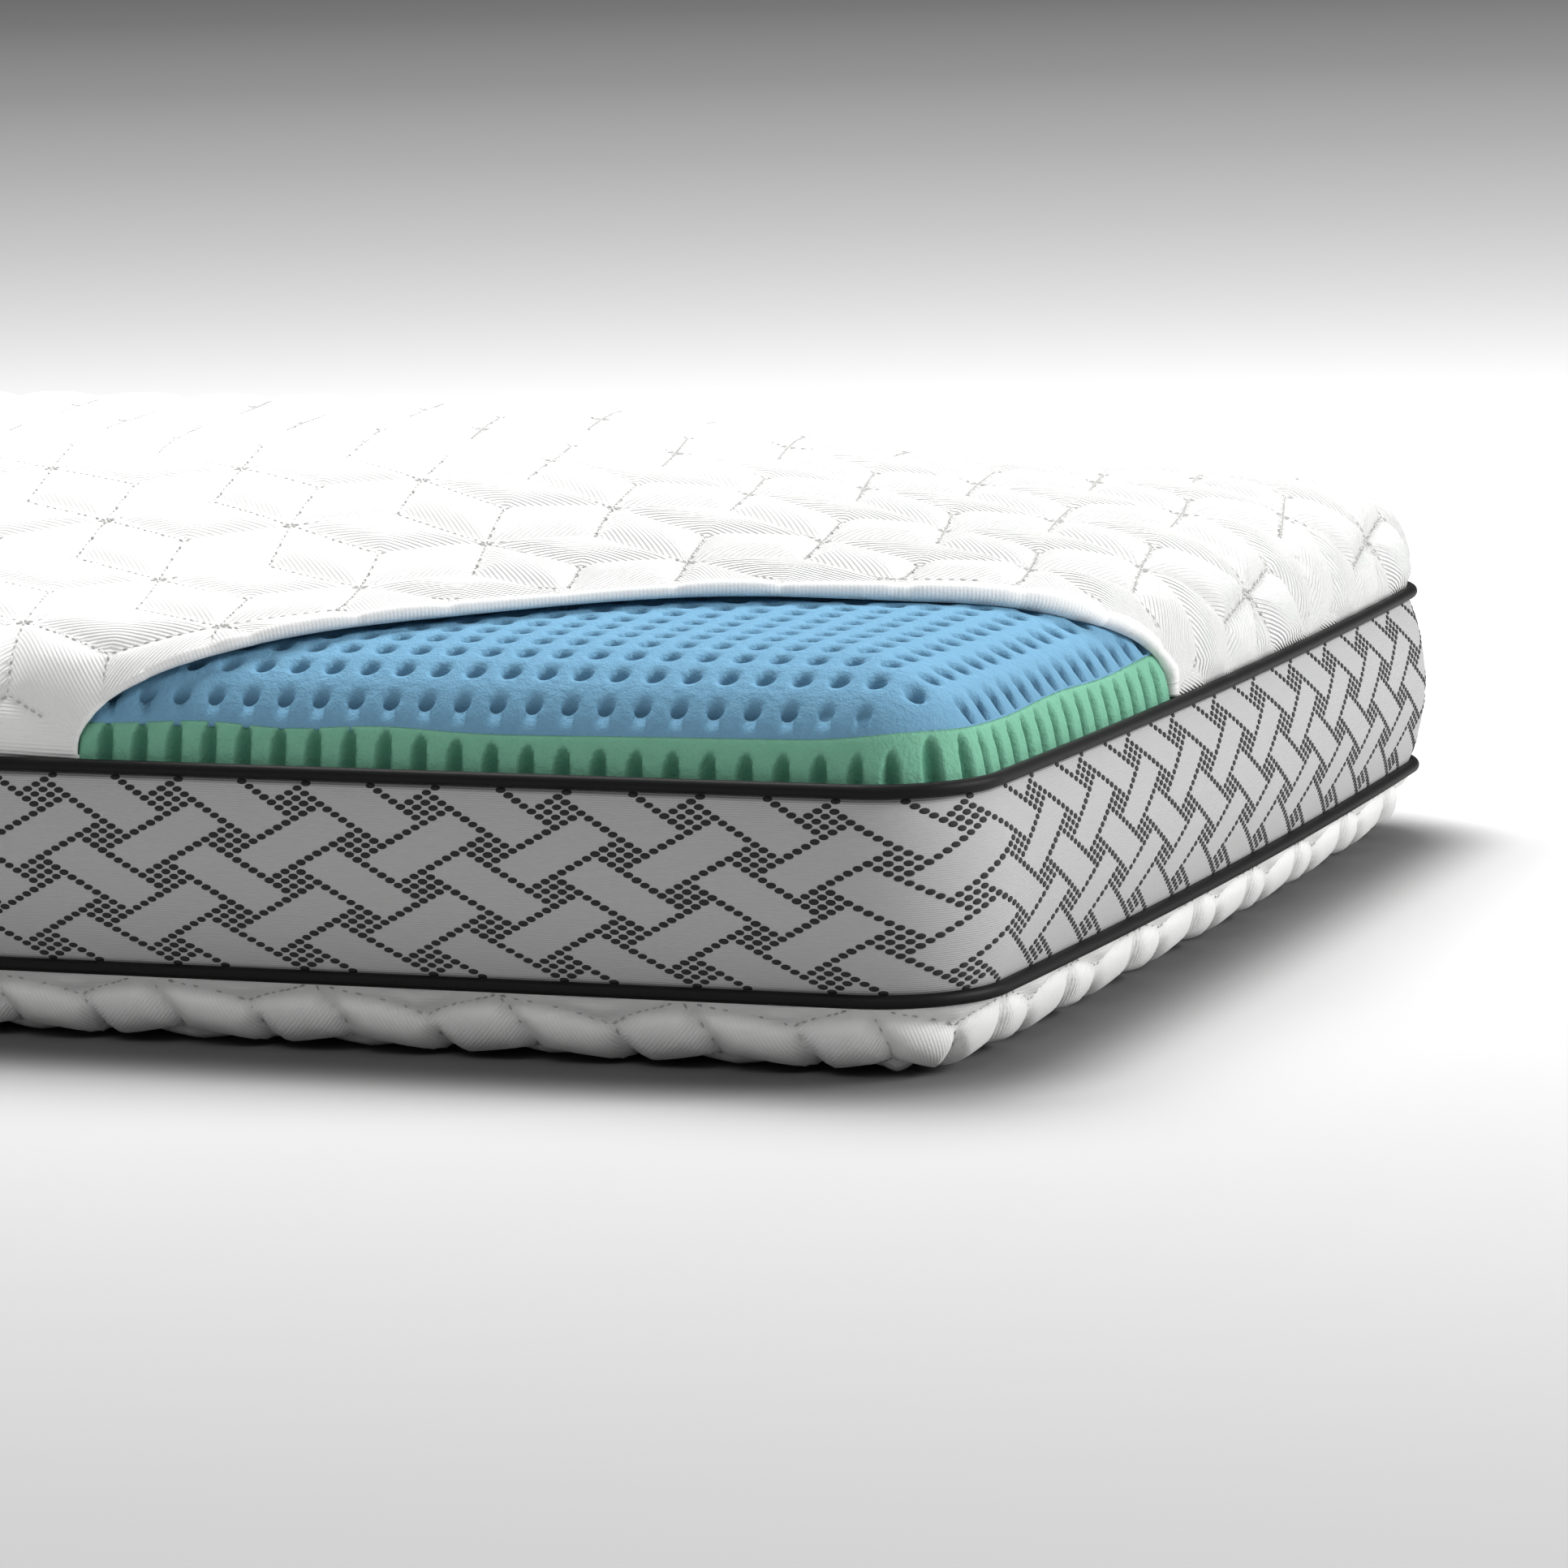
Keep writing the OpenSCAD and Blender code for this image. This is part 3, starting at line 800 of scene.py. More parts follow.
us = lines_between((-U, 9 * MM), (-0.06, 4 * MM), (U, 1))
vs = lines_between((-V, 3.8 * MM), (0.0, 7 * MM), (V, 1))
xs = plan_lines(us, HALF_L - SEAM_IN) / (HALF_L - SEAM_IN)
ys = plan_lines(vs, HALF_W - SEAM_IN)
flat, tris = plan_grid(xs, ys)
over = np.abs(flat[:, 1]) - (HALF_W - CORNER_R)
arc_r = CORNER_R - SEAM_IN
half_l = HALF_L - CORNER_R + np.where(over <= 0, arc_r, np.sqrt(np.clip(arc_r ** 2 - over ** 2, 0, None)))
flat[:, 0] *= half_l
keep, _ = cut_distance(flat)
keep = np.where(np.abs(keep) < 0.2 * MM, 0.2 * MM, keep)
flat, tris, edge_new = trimmed(flat, tris, keep)
gap, way = cut_distance(flat)
gap = np.maximum(gap, 0)
gap[edge_new] = 0

x, y = flat[:, 0], flat[:, 1]
depth = depth_of(x, y)
base = np.column_stack([x, y, cover_z(x, y)])
normal = point_normals(base, tris)
fabric = to_fabric(x, y)
pattern = fabric + warp(fabric)
seam_gap, _ = quilting(pattern)
from_rim = np.interp(depth, table_in, run)
LIFT = 1 * MM
lift = LIFT * (1 - smooth_step(0, 0.12, gap)) * smooth_step(12 * MM, 70 * MM, depth)
rise = (puff(seam_gap, 26 * MM, 7.5 * MM) - 3.5 * MM) * (1 + 0.4 * smooth_step(0.35, 0.80, x))
rise *= (0.3 + 0.7 * smooth_step(0, 30 * MM, gap)) * smooth_step(0, 14 * MM, from_rim)
# the sandwich is pinched at its cut edge, and rolled thicker where the cut comes down the short side
lip_more = -3.0 + 5.0 * smooth_step(HALF_L - 0.24, HALF_L - 0.05, x)
thick = (7 + 5 * smooth_step(SEAM_IN, 50 * MM, depth) + lip_more * (1 - smooth_step(0, 40 * MM, gap))) * MM
top = base + normal * (rise + lift)[:, None]
under = base + normal * (lift - thick)[:, None]
n = len(top)

RINGS = 7
edges = open_edges(tris)
is_cut = edge_new[edges].all(1)
cut_edges, rim_edges = edges[is_cut], edges[~is_cut]
chain = np.unique(cut_edges)
ring_of = {int(v): k for k, v in enumerate(chain)}
half_up = (top[chain] - under[chain]) / 2
mid = (top[chain] + under[chain]) / 2
out = np.column_stack([way[chain], np.zeros(len(chain))])
up = half_up / np.linalg.norm(half_up, axis=1, keepdims=True)
out -= up * (out * up).sum(1, keepdims=True)
out /= np.linalg.norm(out, axis=1, keepdims=True)
size = np.linalg.norm(half_up, axis=1, keepdims=True)
rings = []
for k in range(1, RINGS + 1):
    a = math.pi * k / (RINGS + 1)
    rings.append(mid + half_up * math.cos(a) + out * size * 1.05 * math.sin(a))
points = np.concatenate([top, under] + rings)


def lip_index(v, k):
    """Point number of a cut-edge point on ring k: ring 0 is the face, the last is the underside."""
    if k == 0:
        return v
    if k == RINGS + 1:
        return v + n
    return 2 * n + (k - 1) * len(chain) + ring_of[v]


walls = np.stack([rim_edges[:, 0], rim_edges[:, 0] + n, rim_edges[:, 1] + n, rim_edges[:, 1]], -1)
lip_faces = []
for a, b in cut_edges.tolist():
    for k in range(RINGS + 1):
        lip_faces.append([lip_index(a, k), lip_index(a, k + 1), lip_index(b, k + 1), lip_index(b, k)])
starts, ends = set(cut_edges[:, 0].tolist()), set(cut_edges[:, 1].tolist())
caps = []
for v in starts - ends:
    caps.append([v, v + n] + [lip_index(v, k) for k in range(RINGS, 0, -1)])
for v in ends - starts:
    caps.append([v] + [lip_index(v, k) for k in range(1, RINGS + 1)] + [v + n])
faces = tris.tolist() + (tris[:, ::-1] + n).tolist() + walls.tolist() + lip_faces + caps
top_panel = mesh_object("top panel", bowed(points), faces, cover_white)
print("top panel faces", len(faces), "lip points", len(chain), "caps", len(caps))

# %% [markdown]
# The knit's ribs run in a different direction in each kind of diamond, which is what makes the blocks read.
# Round the rolled edge the ribs cross the lip. Each face corner gets its place across the ribs.

# %% Ribs of the top panel
RIB_WAYS = np.array([
    STAR_B - STAR_A, STAR_B, STAR_A,
])
RIB_WAYS = RIB_WAYS / np.linalg.norm(RIB_WAYS, axis=1, keepdims=True)
RIB_ACROSS = np.stack([-RIB_WAYS[:, 1], RIB_WAYS[:, 0]], -1)


def rib_uv(faces, pattern, strength):
    """Per-corner rib coordinates for faces of a quilted panel."""
    centre = pattern[faces].mean(1)
    _, kind = quilting(centre)
    across = (pattern[faces] * RIB_ACROSS[kind][:, None, :]).sum(-1)
    return np.stack([across, strength[faces]], -1).reshape(-1, 2)


strength = 0.75 + 2.2 * smooth_step(0.35, 0.80, x)
chain_order = np.argsort(top[chain][:, 0] * 0.7 + top[chain][:, 1])
along = np.zeros(len(chain))
steps_along = np.linalg.norm(np.diff(top[chain][chain_order], axis=0), axis=1)
along[chain_order] = np.concatenate([[0], np.cumsum(steps_along)])
uv_top = rib_uv(tris, pattern, strength)
uv_lip = []
for a, b in cut_edges.tolist():
    ua, ub = along[ring_of[a]], along[ring_of[b]]
    uv_lip += [[ua, 0.2], [ua, 0.2], [ub, 0.2], [ub, 0.2]] * (RINGS + 1)
rest = sum(len(c) for c in caps)
set_uv(top_panel, "ribs", np.concatenate([
    uv_top, np.zeros((3 * len(tris), 2)), np.zeros((4 * len(walls), 2)), np.array(uv_lip), np.zeros((rest, 2)),
]))
print("rib corners", len(uv_top))

# %% [markdown]
# ## Repeated shapes
# Stitches, dots and zip teeth repeat thousands of times. A small node tree puts one shape on every point, turned
# to that point's direction, and the result is turned into one plain mesh.


# %% Node tree that repeats a shape
def repeat_tree():
    """Points and a shape in, one mesh out. The size varies a little by a fixed seed."""
    tree = bpy.data.node_groups.new("repeat a shape", "GeometryNodeTree")
    tree.interface.new_socket("Points", in_out="INPUT", socket_type="NodeSocketGeometry")
    tree.interface.new_socket("Shape", in_out="INPUT", socket_type="NodeSocketObject")
    tree.interface.new_socket("Size low", in_out="INPUT", socket_type="NodeSocketFloat")
    tree.interface.new_socket("Size high", in_out="INPUT", socket_type="NodeSocketFloat")
    tree.interface.new_socket("Seed", in_out="INPUT", socket_type="NodeSocketInt")
    tree.interface.new_socket("Finish", in_out="INPUT", socket_type="NodeSocketMaterial")
    tree.interface.new_socket("Mesh", in_out="OUTPUT", socket_type="NodeSocketGeometry")
    start = add_node(tree, "NodeGroupInput")
    shape = add_node(tree, "GeometryNodeObjectInfo", {"Object": start.outputs["Shape"]})
    turn = add_node(tree, "GeometryNodeInputNamedAttribute", {"Name": "turn"}, data_type="FLOAT_VECTOR")
    angle = add_node(tree, "FunctionNodeEulerToRotation", {0: turn.outputs["Attribute"]})
    size = add_node(tree, "FunctionNodeRandomValue", {
        "Seed": start.outputs["Seed"],
    }, data_type="FLOAT")
    tree.links.new(start.outputs["Size low"], size.inputs[2])
    tree.links.new(start.outputs["Size high"], size.inputs[3])
    placed = add_node(tree, "GeometryNodeInstanceOnPoints", {
        "Points": start.outputs["Points"], "Instance": shape.outputs["Geometry"],
        "Rotation": angle.outputs[0], "Scale": size.outputs[1],
    })
    real = add_node(tree, "GeometryNodeRealizeInstances", {0: placed.outputs[0]})
    finish = add_node(tree, "GeometryNodeSetMaterial", {
        "Geometry": real.outputs[0], "Material": start.outputs["Finish"],
    })
    add_node(tree, "NodeGroupOutput", {"Mesh": finish.outputs[0]})
    return tree


REPEAT = repeat_tree()


def repeated(name, at, along_way, out_way, shape, material, size=(1.0, 1.0), seed=1):
    """One mesh with the shape at every point: its X runs along along_way and its Z points along out_way."""
    out_way = out_way / np.linalg.norm(out_way, axis=1, keepdims=True)
    along_way = along_way - out_way * (along_way * out_way).sum(1, keepdims=True)
    along_way = along_way / np.maximum(np.linalg.norm(along_way, axis=1, keepdims=True), 1e-9)
    side = np.cross(out_way, along_way)
    turns = [Matrix(np.stack([a, s, o], -1).tolist()).to_euler() for a, s, o in zip(along_way, side, out_way)]
    carrier = mesh_object(name, at, [], material)
    turn = carrier.data.attributes.new("turn", "FLOAT_VECTOR", "POINT")
    turn.data.foreach_set("vector", np.array(turns, np.float32).ravel())
    change = carrier.modifiers.new("repeat", "NODES")
    change.node_group = REPEAT
    values = {"Shape": shape, "Size low": size[0], "Size high": size[1], "Seed": seed, "Finish": material}
    for item in REPEAT.interface.items_tree:
        if item.in_out == "INPUT" and item.name in values:
            change[item.identifier] = values[item.name]
    bpy.context.view_layer.update()
    ready = carrier.evaluated_get(bpy.context.evaluated_depsgraph_get())
    mesh = bpy.data.meshes.new_from_object(ready)
    bpy.data.meshes.remove(carrier.data)
    mesh.name = name.replace(" ", "_")
    made = bpy.data.objects.new(mesh.name, mesh)
    bpy.context.scene.collection.objects.link(made)
    bpy.data.objects.remove(shape)
    print(name, len(at), "repeats,", len(mesh.polygons), "faces")
    return made


def bead(name, length, width, height, sides=6, material=None):
    """A low rounded bead: a ring of points, a smaller raised ring and a flat base."""
    a = np.linspace(0, 2 * math.pi, sides, endpoint=False)
    rows = [(1.0, -0.25), (0.96, 0.35), (0.6, 1.0)]
    points = [[0.5 * length * k * math.cos(t), 0.5 * width * k * math.sin(t), height * h]
              for k, h in rows for t in a]
    faces = []
    for j in range(len(rows) - 1):
        for i in range(sides):
            on = (i + 1) % sides
            faces.append([j * sides + i, j * sides + on, (j + 1) * sides + on, (j + 1) * sides + i])
    faces.append([2 * sides + i for i in range(sides)])
    faces.append([sides - 1 - i for i in range(sides)])
    return mesh_object(name, points, faces, material)


# %% [markdown]
# Quilting stitches: short dashes of thread in the bottom of every seam.

# %% Top stitches
STITCH = 6.2 * MM


def seam_points(star_a, star_b, at, low, high):
    """Points and directions along every seam inside a rectangle of the flat fabric."""
    spots, ways = [], []
    basis = np.array([star_a, star_b]).T
    box_corners = np.array([[low[0], low[1]], [low[0], high[1]], [high[0], low[1]], [high[0], high[1]]])
    ij = (box_corners - at) @ np.linalg.inv(basis).T
    for i in range(int(ij[:, 0].min()) - 2, int(ij[:, 0].max()) + 3):
        for j in range(int(ij[:, 1].min()) - 2, int(ij[:, 1].max()) + 3):
            origin = at + basis @ np.array([i, j])
            for trio in ((origin, origin + star_a, origin + star_b),
                         (origin + star_a + star_b, origin + star_b, origin + star_a)):
                middle = sum(trio) / 3
                for end in trio:
                    length = np.linalg.norm(end - middle)
                    count = max(2, int(length / STITCH))
                    t = (np.arange(count) + 0.5) / count
                    spots.append(middle + (end - middle) * t[:, None])
                    ways.append(np.repeat([(end - middle) / length], count, 0))
    spots, ways = np.concatenate(spots), np.concatenate(ways)
    inside = (spots > np.array(low)).all(1) & (spots < np.array(high)).all(1)
    return spots[inside], ways[inside]


spots, ways = seam_points(STAR_A, STAR_B, STAR_AT, (-U - 0.01, -V - 0.01), (U + 0.01, V + 0.01))


def undo(shift, p, rounds):
    """The pattern points that a shift moves to p."""
    q = p.copy()
    for _ in range(rounds):
        q = p - shift(q)
    return q


def on_top(p):
    """Plan points and depths of pattern points on the top panel."""
    plan = from_fabric(undo(warp, p, 4))
    return plan, depth_of(plan[:, 0], plan[:, 1])


plan, depth_here = on_top(spots)
gap_here, _ = cut_distance(plan)
good = (depth_here > SEAM_IN + 0.5 * MM) & (gap_here > 6 * MM)
spots, ways, plan, depth_here, gap_here = (a[good] for a in (spots, ways, plan, depth_here, gap_here))
ahead, _ = on_top(spots + ways * 1.5 * MM)


def top_point(plan, depth_here, gap_here):
    """Place and normal in the bottom of a seam."""
    x, y = plan[:, 0], plan[:, 1]
    e = 0.4 * MM
    place = np.column_stack([x, y, cover_z(x, y)])
    ox, oy = outward(x, y)
    inner = cover_z(x - ox * e, y - oy * e)
    outer = cover_z(x + ox * e, y + oy * e)
    slope = np.clip((inner - outer) / (2 * e), -30, 30)
    across = cover_z(x - oy * e, y + ox * e) - cover_z(x + oy * e, y - ox * e)
    tilt = across / (2 * e)
    normal = np.column_stack([ox * slope + oy * tilt, oy * slope - ox * tilt, np.ones(len(x))])
    normal /= np.linalg.norm(normal, axis=1, keepdims=True)
    lift = LIFT * (1 - smooth_step(0, 0.12, gap_here)) * smooth_step(12 * MM, 70 * MM, depth_here)
    from_rim = np.interp(depth_here, table_in, run)
    sink = -3.5 * MM * (0.3 + 0.7 * smooth_step(0, 30 * MM, gap_here)) * smooth_step(0, 14 * MM, from_rim)
    # the panel's grid rounds its valleys off, more so where it is coarse
    ride_up = np.where((x > -0.06) & (y < 0), 1.5 * MM, 2.3 * MM)
    return place + normal * (lift + sink + ride_up)[:, None], normal


place, normal = top_point(plan, depth_here, gap_here)
ahead_place = np.column_stack([ahead, cover_z(ahead[:, 0], ahead[:, 1])])
here = np.column_stack([plan, cover_z(plan[:, 0], plan[:, 1])])
dash = bead("stitch", 4.0 * MM, 1.5 * MM, 0.7 * MM, 6, thread_in_painted_shade)
top_stitches = repeated("top stitches", bowed(place), ahead_place - here, normal, dash, thread_in_painted_shade,
                        (0.85, 1.1), 3)

# %% [markdown]
# ## Border
# A strip of stretch knit between the two pipings, padded so that it bulges. The zip slot is left open at the
# back. The dotted weave is raised dark yarn: clusters of sixteen dots joined by diagonal runs of four.

# %% Border face
zip_low, zip_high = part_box("zip_tape_lower")[0].z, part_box("zip_tape_upper")[1].z
ZIP_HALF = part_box("zip_tape_upper")[1].x + 1.2 * MM
border_low, border_high = SEAM_LOW + SEAM_DZ, SEAM_HIGH - SEAM_DZ


def border_out(z):
    """How far out of the seam line the border's face lies at a height."""
    share = (z - border_low) / (border_high - border_low)
    return -SEAM_IN + BULGE * 4 * share * (1 - share)


slot_s = [BACK_START + SIDE_L / 2 - ZIP_HALF, BACK_START + SIDE_L / 2 + ZIP_HALF]
lines = np.sort(np.concatenate([seam_lines(10 * MM, 3.4 * MM), slot_s]))
heights = np.sort(np.concatenate([np.linspace(border_low, border_high, 22), [zip_low, zip_high]]))
heights = heights[np.concatenate([[True], np.diff(heights) > 0.8 * MM])]
outer = swept(lines, -border_out(heights), heights)
rows, cols = outer.shape[:2]
quads = strip_faces(rows, cols)
centre_s = 0.5 * (lines + np.roll(lines, -1))
centre_z = 0.5 * (heights[:-1] + heights[1:])
zz, ss = np.meshgrid(centre_z, centre_s, indexing="ij")
slot = ((ss > slot_s[0]) & (ss < slot_s[1]) & (zz > zip_low) & (zz < zip_high)).ravel()
quads = quads[~slot]
points, faces = shell(bowed(outer.reshape(-1, 3)), quads, 1.4 * MM)
border = mesh_object("border knit", points, faces.tolist(), border_grey)
height_of = np.tile(np.repeat(heights, cols), 2)
corner_height = height_of[faces.ravel()]
set_uv(border, "courses", np.stack([corner_height, np.ones(len(corner_height))], -1))

# %% Border dots
# one repeat of the pattern is a grid of 16 by 16 places, 83.3 mm long and 45.5 mm high
DOT_GRID = 16
DOT_S, DOT_Z = 83.3 / DOT_GRID * MM, 45.5 / DOT_GRID * MM
dots = {(m, n) for m in range(-3, 4) for n in range(-3, 4) if abs(m) + abs(n) <= 3 and (m + n) % 2}
dots |= {(m + DOT_GRID // 2, n + DOT_GRID // 2) for m, n in set(dots)}
for m, n, dm, dn in ((4, 1, 1, 1), (-1, 4, -1, 1), (-4, -1, -1, -1), (1, -4, 1, -1)):
    dots |= {(m + k * dm, n + k * dn) for k in range(4)}
dots = np.array(sorted({(m % DOT_GRID, n % DOT_GRID) for m, n in dots}))
print("dots in a repeat", len(dots))
# a cluster's centre in the picture, from the middle of the front side and from the upper seam
dot_zero_s = FRONT_START + SIDE_L / 2 + 623.3 * MM
dot_zero_z = SEAM_HIGH - 17.7 * MM
spots = []
for around in range(-80, 80):
    for up in range(-2, 5):
        s = dot_zero_s + (dots[:, 0] + DOT_GRID * around) * DOT_S
        z = dot_zero_z - (dots[:, 1] + DOT_GRID * up) * DOT_Z
        spots.append(np.stack([s, z], -1))
spots = np.concatenate(spots)
good = (spots[:, 0] > 3 * MM) & (spots[:, 0] < ROUND - 3 * MM)
good &= (spots[:, 1] > border_low + 0.5 * MM) & (spots[:, 1] < border_high - 0.5 * MM)
in_slot = (spots[:, 0] > slot_s[0] - 3 * MM) & (spots[:, 0] < slot_s[1] + 3 * MM)
in_slot &= spots[:, 1] < zip_high + 2 * MM
spots = spots[good & ~in_slot]
x, y, nx, ny = outline_at(spots[:, 0])
out = border_out(spots[:, 1])
slope = (border_out(spots[:, 1] + 1 * MM) - border_out(spots[:, 1] - 1 * MM)) / (2 * MM)
place = np.column_stack([x + nx * out, y + ny * out, spots[:, 1]])
normal = np.column_stack([nx, ny, -slope])
along_way = np.column_stack([-ny, nx, 0 * nx])
dot = bead("dot", 6.6 * MM, 3.7 * MM, 0.45 * MM, 10, dot_dark)
border_dots = repeated("border dots", bowed(place), along_way, normal, dot, dot_dark, (0.94, 1.04), 7)

# %% [markdown]
# ## Piping
# Cotton cord wrapped in black tape, sewn into both seams all the way round.


# %% Piping
def tube(name, height, radius, sides, material):
    """A round tube swept along a seam."""
    lines = seam_lines(14 * MM, 3 * MM)
    a = np.linspace(0, 2 * math.pi, sides, endpoint=False)
    points = swept(lines, -radius * np.cos(a), height + radius * np.sin(a))
    rows, cols = points.shape[:2]
    return mesh_object(name, bowed(points.reshape(-1, 3)), strip_faces(rows, cols, True).tolist(), material)


CORD_R = (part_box("upper_piping_cord")[1].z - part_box("upper_piping_cord")[0].z) / 2
upper_piping = tube("upper piping", SEAM_HIGH, PIPING_R, 16, piping_black)
lower_piping = tube("lower piping", SEAM_LOW, PIPING_R, 16, piping_black)
upper_cord = tube("upper cord", SEAM_HIGH, CORD_R, 8, cord_cotton)
lower_cord = tube("lower cord", SEAM_LOW, CORD_R, 8, cord_cotton)
print("piping and cords made")

# %% [markdown]
# ## Bottom panel
# The same white knit, quilted in the same stars. From the lower piping it tucks under in a quarter round, and
# its puffs make a scalloped line along the floor.

# %% Bottom panel
LOW_A = np.array([114, 0]) * MM
LOW_B = np.array([57, 55]) * MM
LOW_AT = np.array([FRONT_START + SIDE_L / 2 + 0.4345, 0.001])
bottom_high = SEAM_LOW - SEAM_DZ
LOW_PUFF = 9 * MM  # height of a puff over its seams
LOW_REACH = 75 * MM  # how far in from the seam line the quilting goes
LOW_PAD, LOW_INSIDE = 12 * MM, 14 * MM  # padding at the side, and height of the inner face
lines = seam_lines(5 * MM, 2.6 * MM)
turn = np.linspace(0, 0.5 * math.pi, 19)
profile_d = np.concatenate([[LOW_REACH, 58 * MM], SEAM_IN + TUCK * (1 - np.sin(turn))])
profile_z = np.concatenate([[0, 0], bottom_high * (1 - np.cos(turn))])
points = swept(lines, profile_d, profile_z)
rows, cols = points.shape[:2]
steps_up = np.hypot(np.diff(profile_d), np.diff(profile_z))
down = np.concatenate([np.cumsum(steps_up[::-1])[::-1], [0]])
fabric_low = np.stack(np.meshgrid(lines, down), -1).reshape(-1, 2)


def low_warp(p):
    """The lower seams lean and curve as they go under."""
    below = np.maximum(p[..., 1], 0)
    lean = 3 * MM * np.sin(p[..., 0] / 0.09) - 0.40 * np.minimum(below, 30 * MM)
    lean = lean - 0.15 * np.maximum(below - 30 * MM, 0)
    stretch = 0.38 * np.maximum(below - 16 * MM, 0)
    return np.stack([lean, 2 * MM * np.sin(p[..., 0] / 0.07) - stretch], -1)


seam_gap, _ = quilting(fabric_low + low_warp(fabric_low), LOW_A, LOW_B, LOW_AT)
quads = strip_faces(rows, cols)
flat_points = points.reshape(-1, 3)
normal = point_normals(flat_points, quads)
from_seam = fabric_low[:, 1]
sink = (puff(seam_gap, 24 * MM, LOW_PUFF) - LOW_PUFF) * smooth_step(0, 12 * MM, from_seam)
outer = flat_points + normal * sink[:, None]
outer[:, 2] = np.maximum(outer[:, 2], 0)
inner_d = np.concatenate([SEAM_IN + LOW_PAD + (TUCK - LOW_PAD) * (1 - np.cos(turn)), [LOW_REACH]])
inner_z = np.concatenate([bottom_high + (LOW_INSIDE - bottom_high) * np.sin(turn), [LOW_INSIDE]])
inner = swept(lines, inner_d, inner_z).reshape(-1, 3)
points = np.concatenate([outer, inner])
total_rows = rows + len(inner_d)
strip = strip_faces(total_rows, cols)
faces = strip.tolist()
faces.append(list(range((total_rows - 1) * cols, total_rows * cols)))
faces.append(list(range(cols - 1, -1, -1)))
bottom_panel = mesh_object("bottom panel", bowed(points), faces, cover_white)
pattern_low = np.concatenate([fabric_low, np.zeros((len(inner), 2))])
wrap = strip[:, 0] % cols == cols - 1
corner_p = pattern_low[strip].copy()
corner_p[wrap, 1, 0] += ROUND
corner_p[wrap, 2, 0] += ROUND
_, kind = quilting((corner_p + low_warp(corner_p)).mean(1), LOW_A, LOW_B, LOW_AT)
across = (corner_p * RIB_ACROSS[kind][:, None, :]).sum(-1)
uv = np.stack([across, np.full(across.shape, 0.3)], -1).reshape(-1, 2)
set_uv(bottom_panel, "ribs", np.concatenate([uv, np.zeros((2 * cols, 2))]))
print("bottom panel faces", len(faces))

# %% Bottom stitches
spots, ways = seam_points(LOW_A, LOW_B, LOW_AT, (-0.05, -0.01), (ROUND + 0.05, 0.09))


def on_bottom(p):
    """Place, normal and distance down the panel of pattern points."""
    q = undo(low_warp, p, 12)
    x, y, nx, ny = outline_at(q[:, 0])
    rising = down[::-1]
    d = np.interp(q[:, 1], rising, profile_d[::-1])
    z = np.interp(q[:, 1], rising, profile_z[::-1])
    angle = np.interp(q[:, 1], rising, np.concatenate([turn[::-1], [0, 0]]))
    away, drop = np.sin(angle), np.cos(angle)
    normal = np.column_stack([nx * away, ny * away, -drop])
    return np.column_stack([x - nx * d, y - ny * d, z]), normal, q


place, normal, q = on_bottom(spots)
ahead, _, _ = on_bottom(spots + ways * 1.5 * MM)
sink = -LOW_PUFF * smooth_step(0, 12 * MM, q[:, 1]) + 1.6 * MM
good = (q[:, 1] > 3 * MM) & (q[:, 1] < 66 * MM) & (q[:, 0] > 0) & (q[:, 0] < ROUND)
place, normal, ahead, sink = place[good], normal[good], ahead[good], sink[good]
seat = place + normal * sink[:, None]
dash = bead("low stitch", 4.0 * MM, 1.3 * MM, 0.6 * MM, 6, thread_in_painted_shade)
bottom_stitches = repeated("bottom stitches", bowed(seat), ahead - place, normal, dash, thread_in_painted_shade,
                           (0.85, 1.1), 5)

# %% [markdown]
# ## Zip
# The cover comes off by a zip along the back. The coil is a row of small interlocking teeth on each tape.

# %% Zip teeth
TOOTH = 2.0 * MM


def teeth(name, node, offset, way):
    """A row of teeth along a CAD row of teeth, from its one end to the other."""
    low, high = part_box(node)
    count = int((high.x - low.x) / TOOTH)
    xs = low.x + TOOTH * (np.arange(count) + 0.5) + offset
    xs = xs[xs < high.x - 0.5 * TOOTH]
    at = np.column_stack([xs, np.full(len(xs), low.y), np.full(len(xs), 0.5 * (low.z + high.z))])
    along_way = np.tile([0.0, 0.0, way], (len(xs), 1))
    out_way = np.tile([0.0, 1.0, 0.0], (len(xs), 1))
    shape = bead("tooth", high.z - low.z, 1.3 * MM, high.y - low.y, 6, zip_teeth_grey)
    return repeated(name, at, along_way, out_way, shape, zip_teeth_grey, (1.0, 1.0), 1)


teeth_up = teeth("upper teeth", "zip_teeth_upper", 0.0, 1.0)
teeth_down = teeth("lower teeth", "zip_teeth_lower", 0.5 * TOOTH, -1.0)

# %% [markdown]
# ## Ride, hidden CAD parts and finishes
# Every piece moves with the mattress body. The slider and its pull are the CAD's own parts, in metal.

# %% Ride and finishes
pieces = {
    blue_foam: ("foam_blue", ["blue_comfort_foam"]),
    green_foam: ("foam_green", ["green_airflow_foam"]),
    top_panel: ("cover_white", ["top_cover_face", "top_quilt_fill", "top_quilt_backing"]),
    top_stitches: ("cover_white", []),
    border: ("border_grey", ["border_face"]),
    border_dots: ("border_grey", []),
    upper_piping: ("piping_black", ["upper_piping_tape"]),
    lower_piping: ("piping_black", ["lower_piping_tape"]),
    upper_cord: ("cord_cotton", ["upper_piping_cord"]),
    lower_cord: ("cord_cotton", ["lower_piping_cord"]),
    bottom_panel: ("cover_white", ["bottom_cover_face", "bottom_quilt_fill", "bottom_quilt_backing"]),
    bottom_stitches: ("cover_white", []),
    teeth_up: ("zip_teeth", ["zip_teeth_upper"]),
    teeth_down: ("zip_teeth", ["zip_teeth_lower"]),
}
for piece, (slot_name, nodes) in pieces.items():
    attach(piece, "mattress")
    if nodes:
        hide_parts(*nodes)

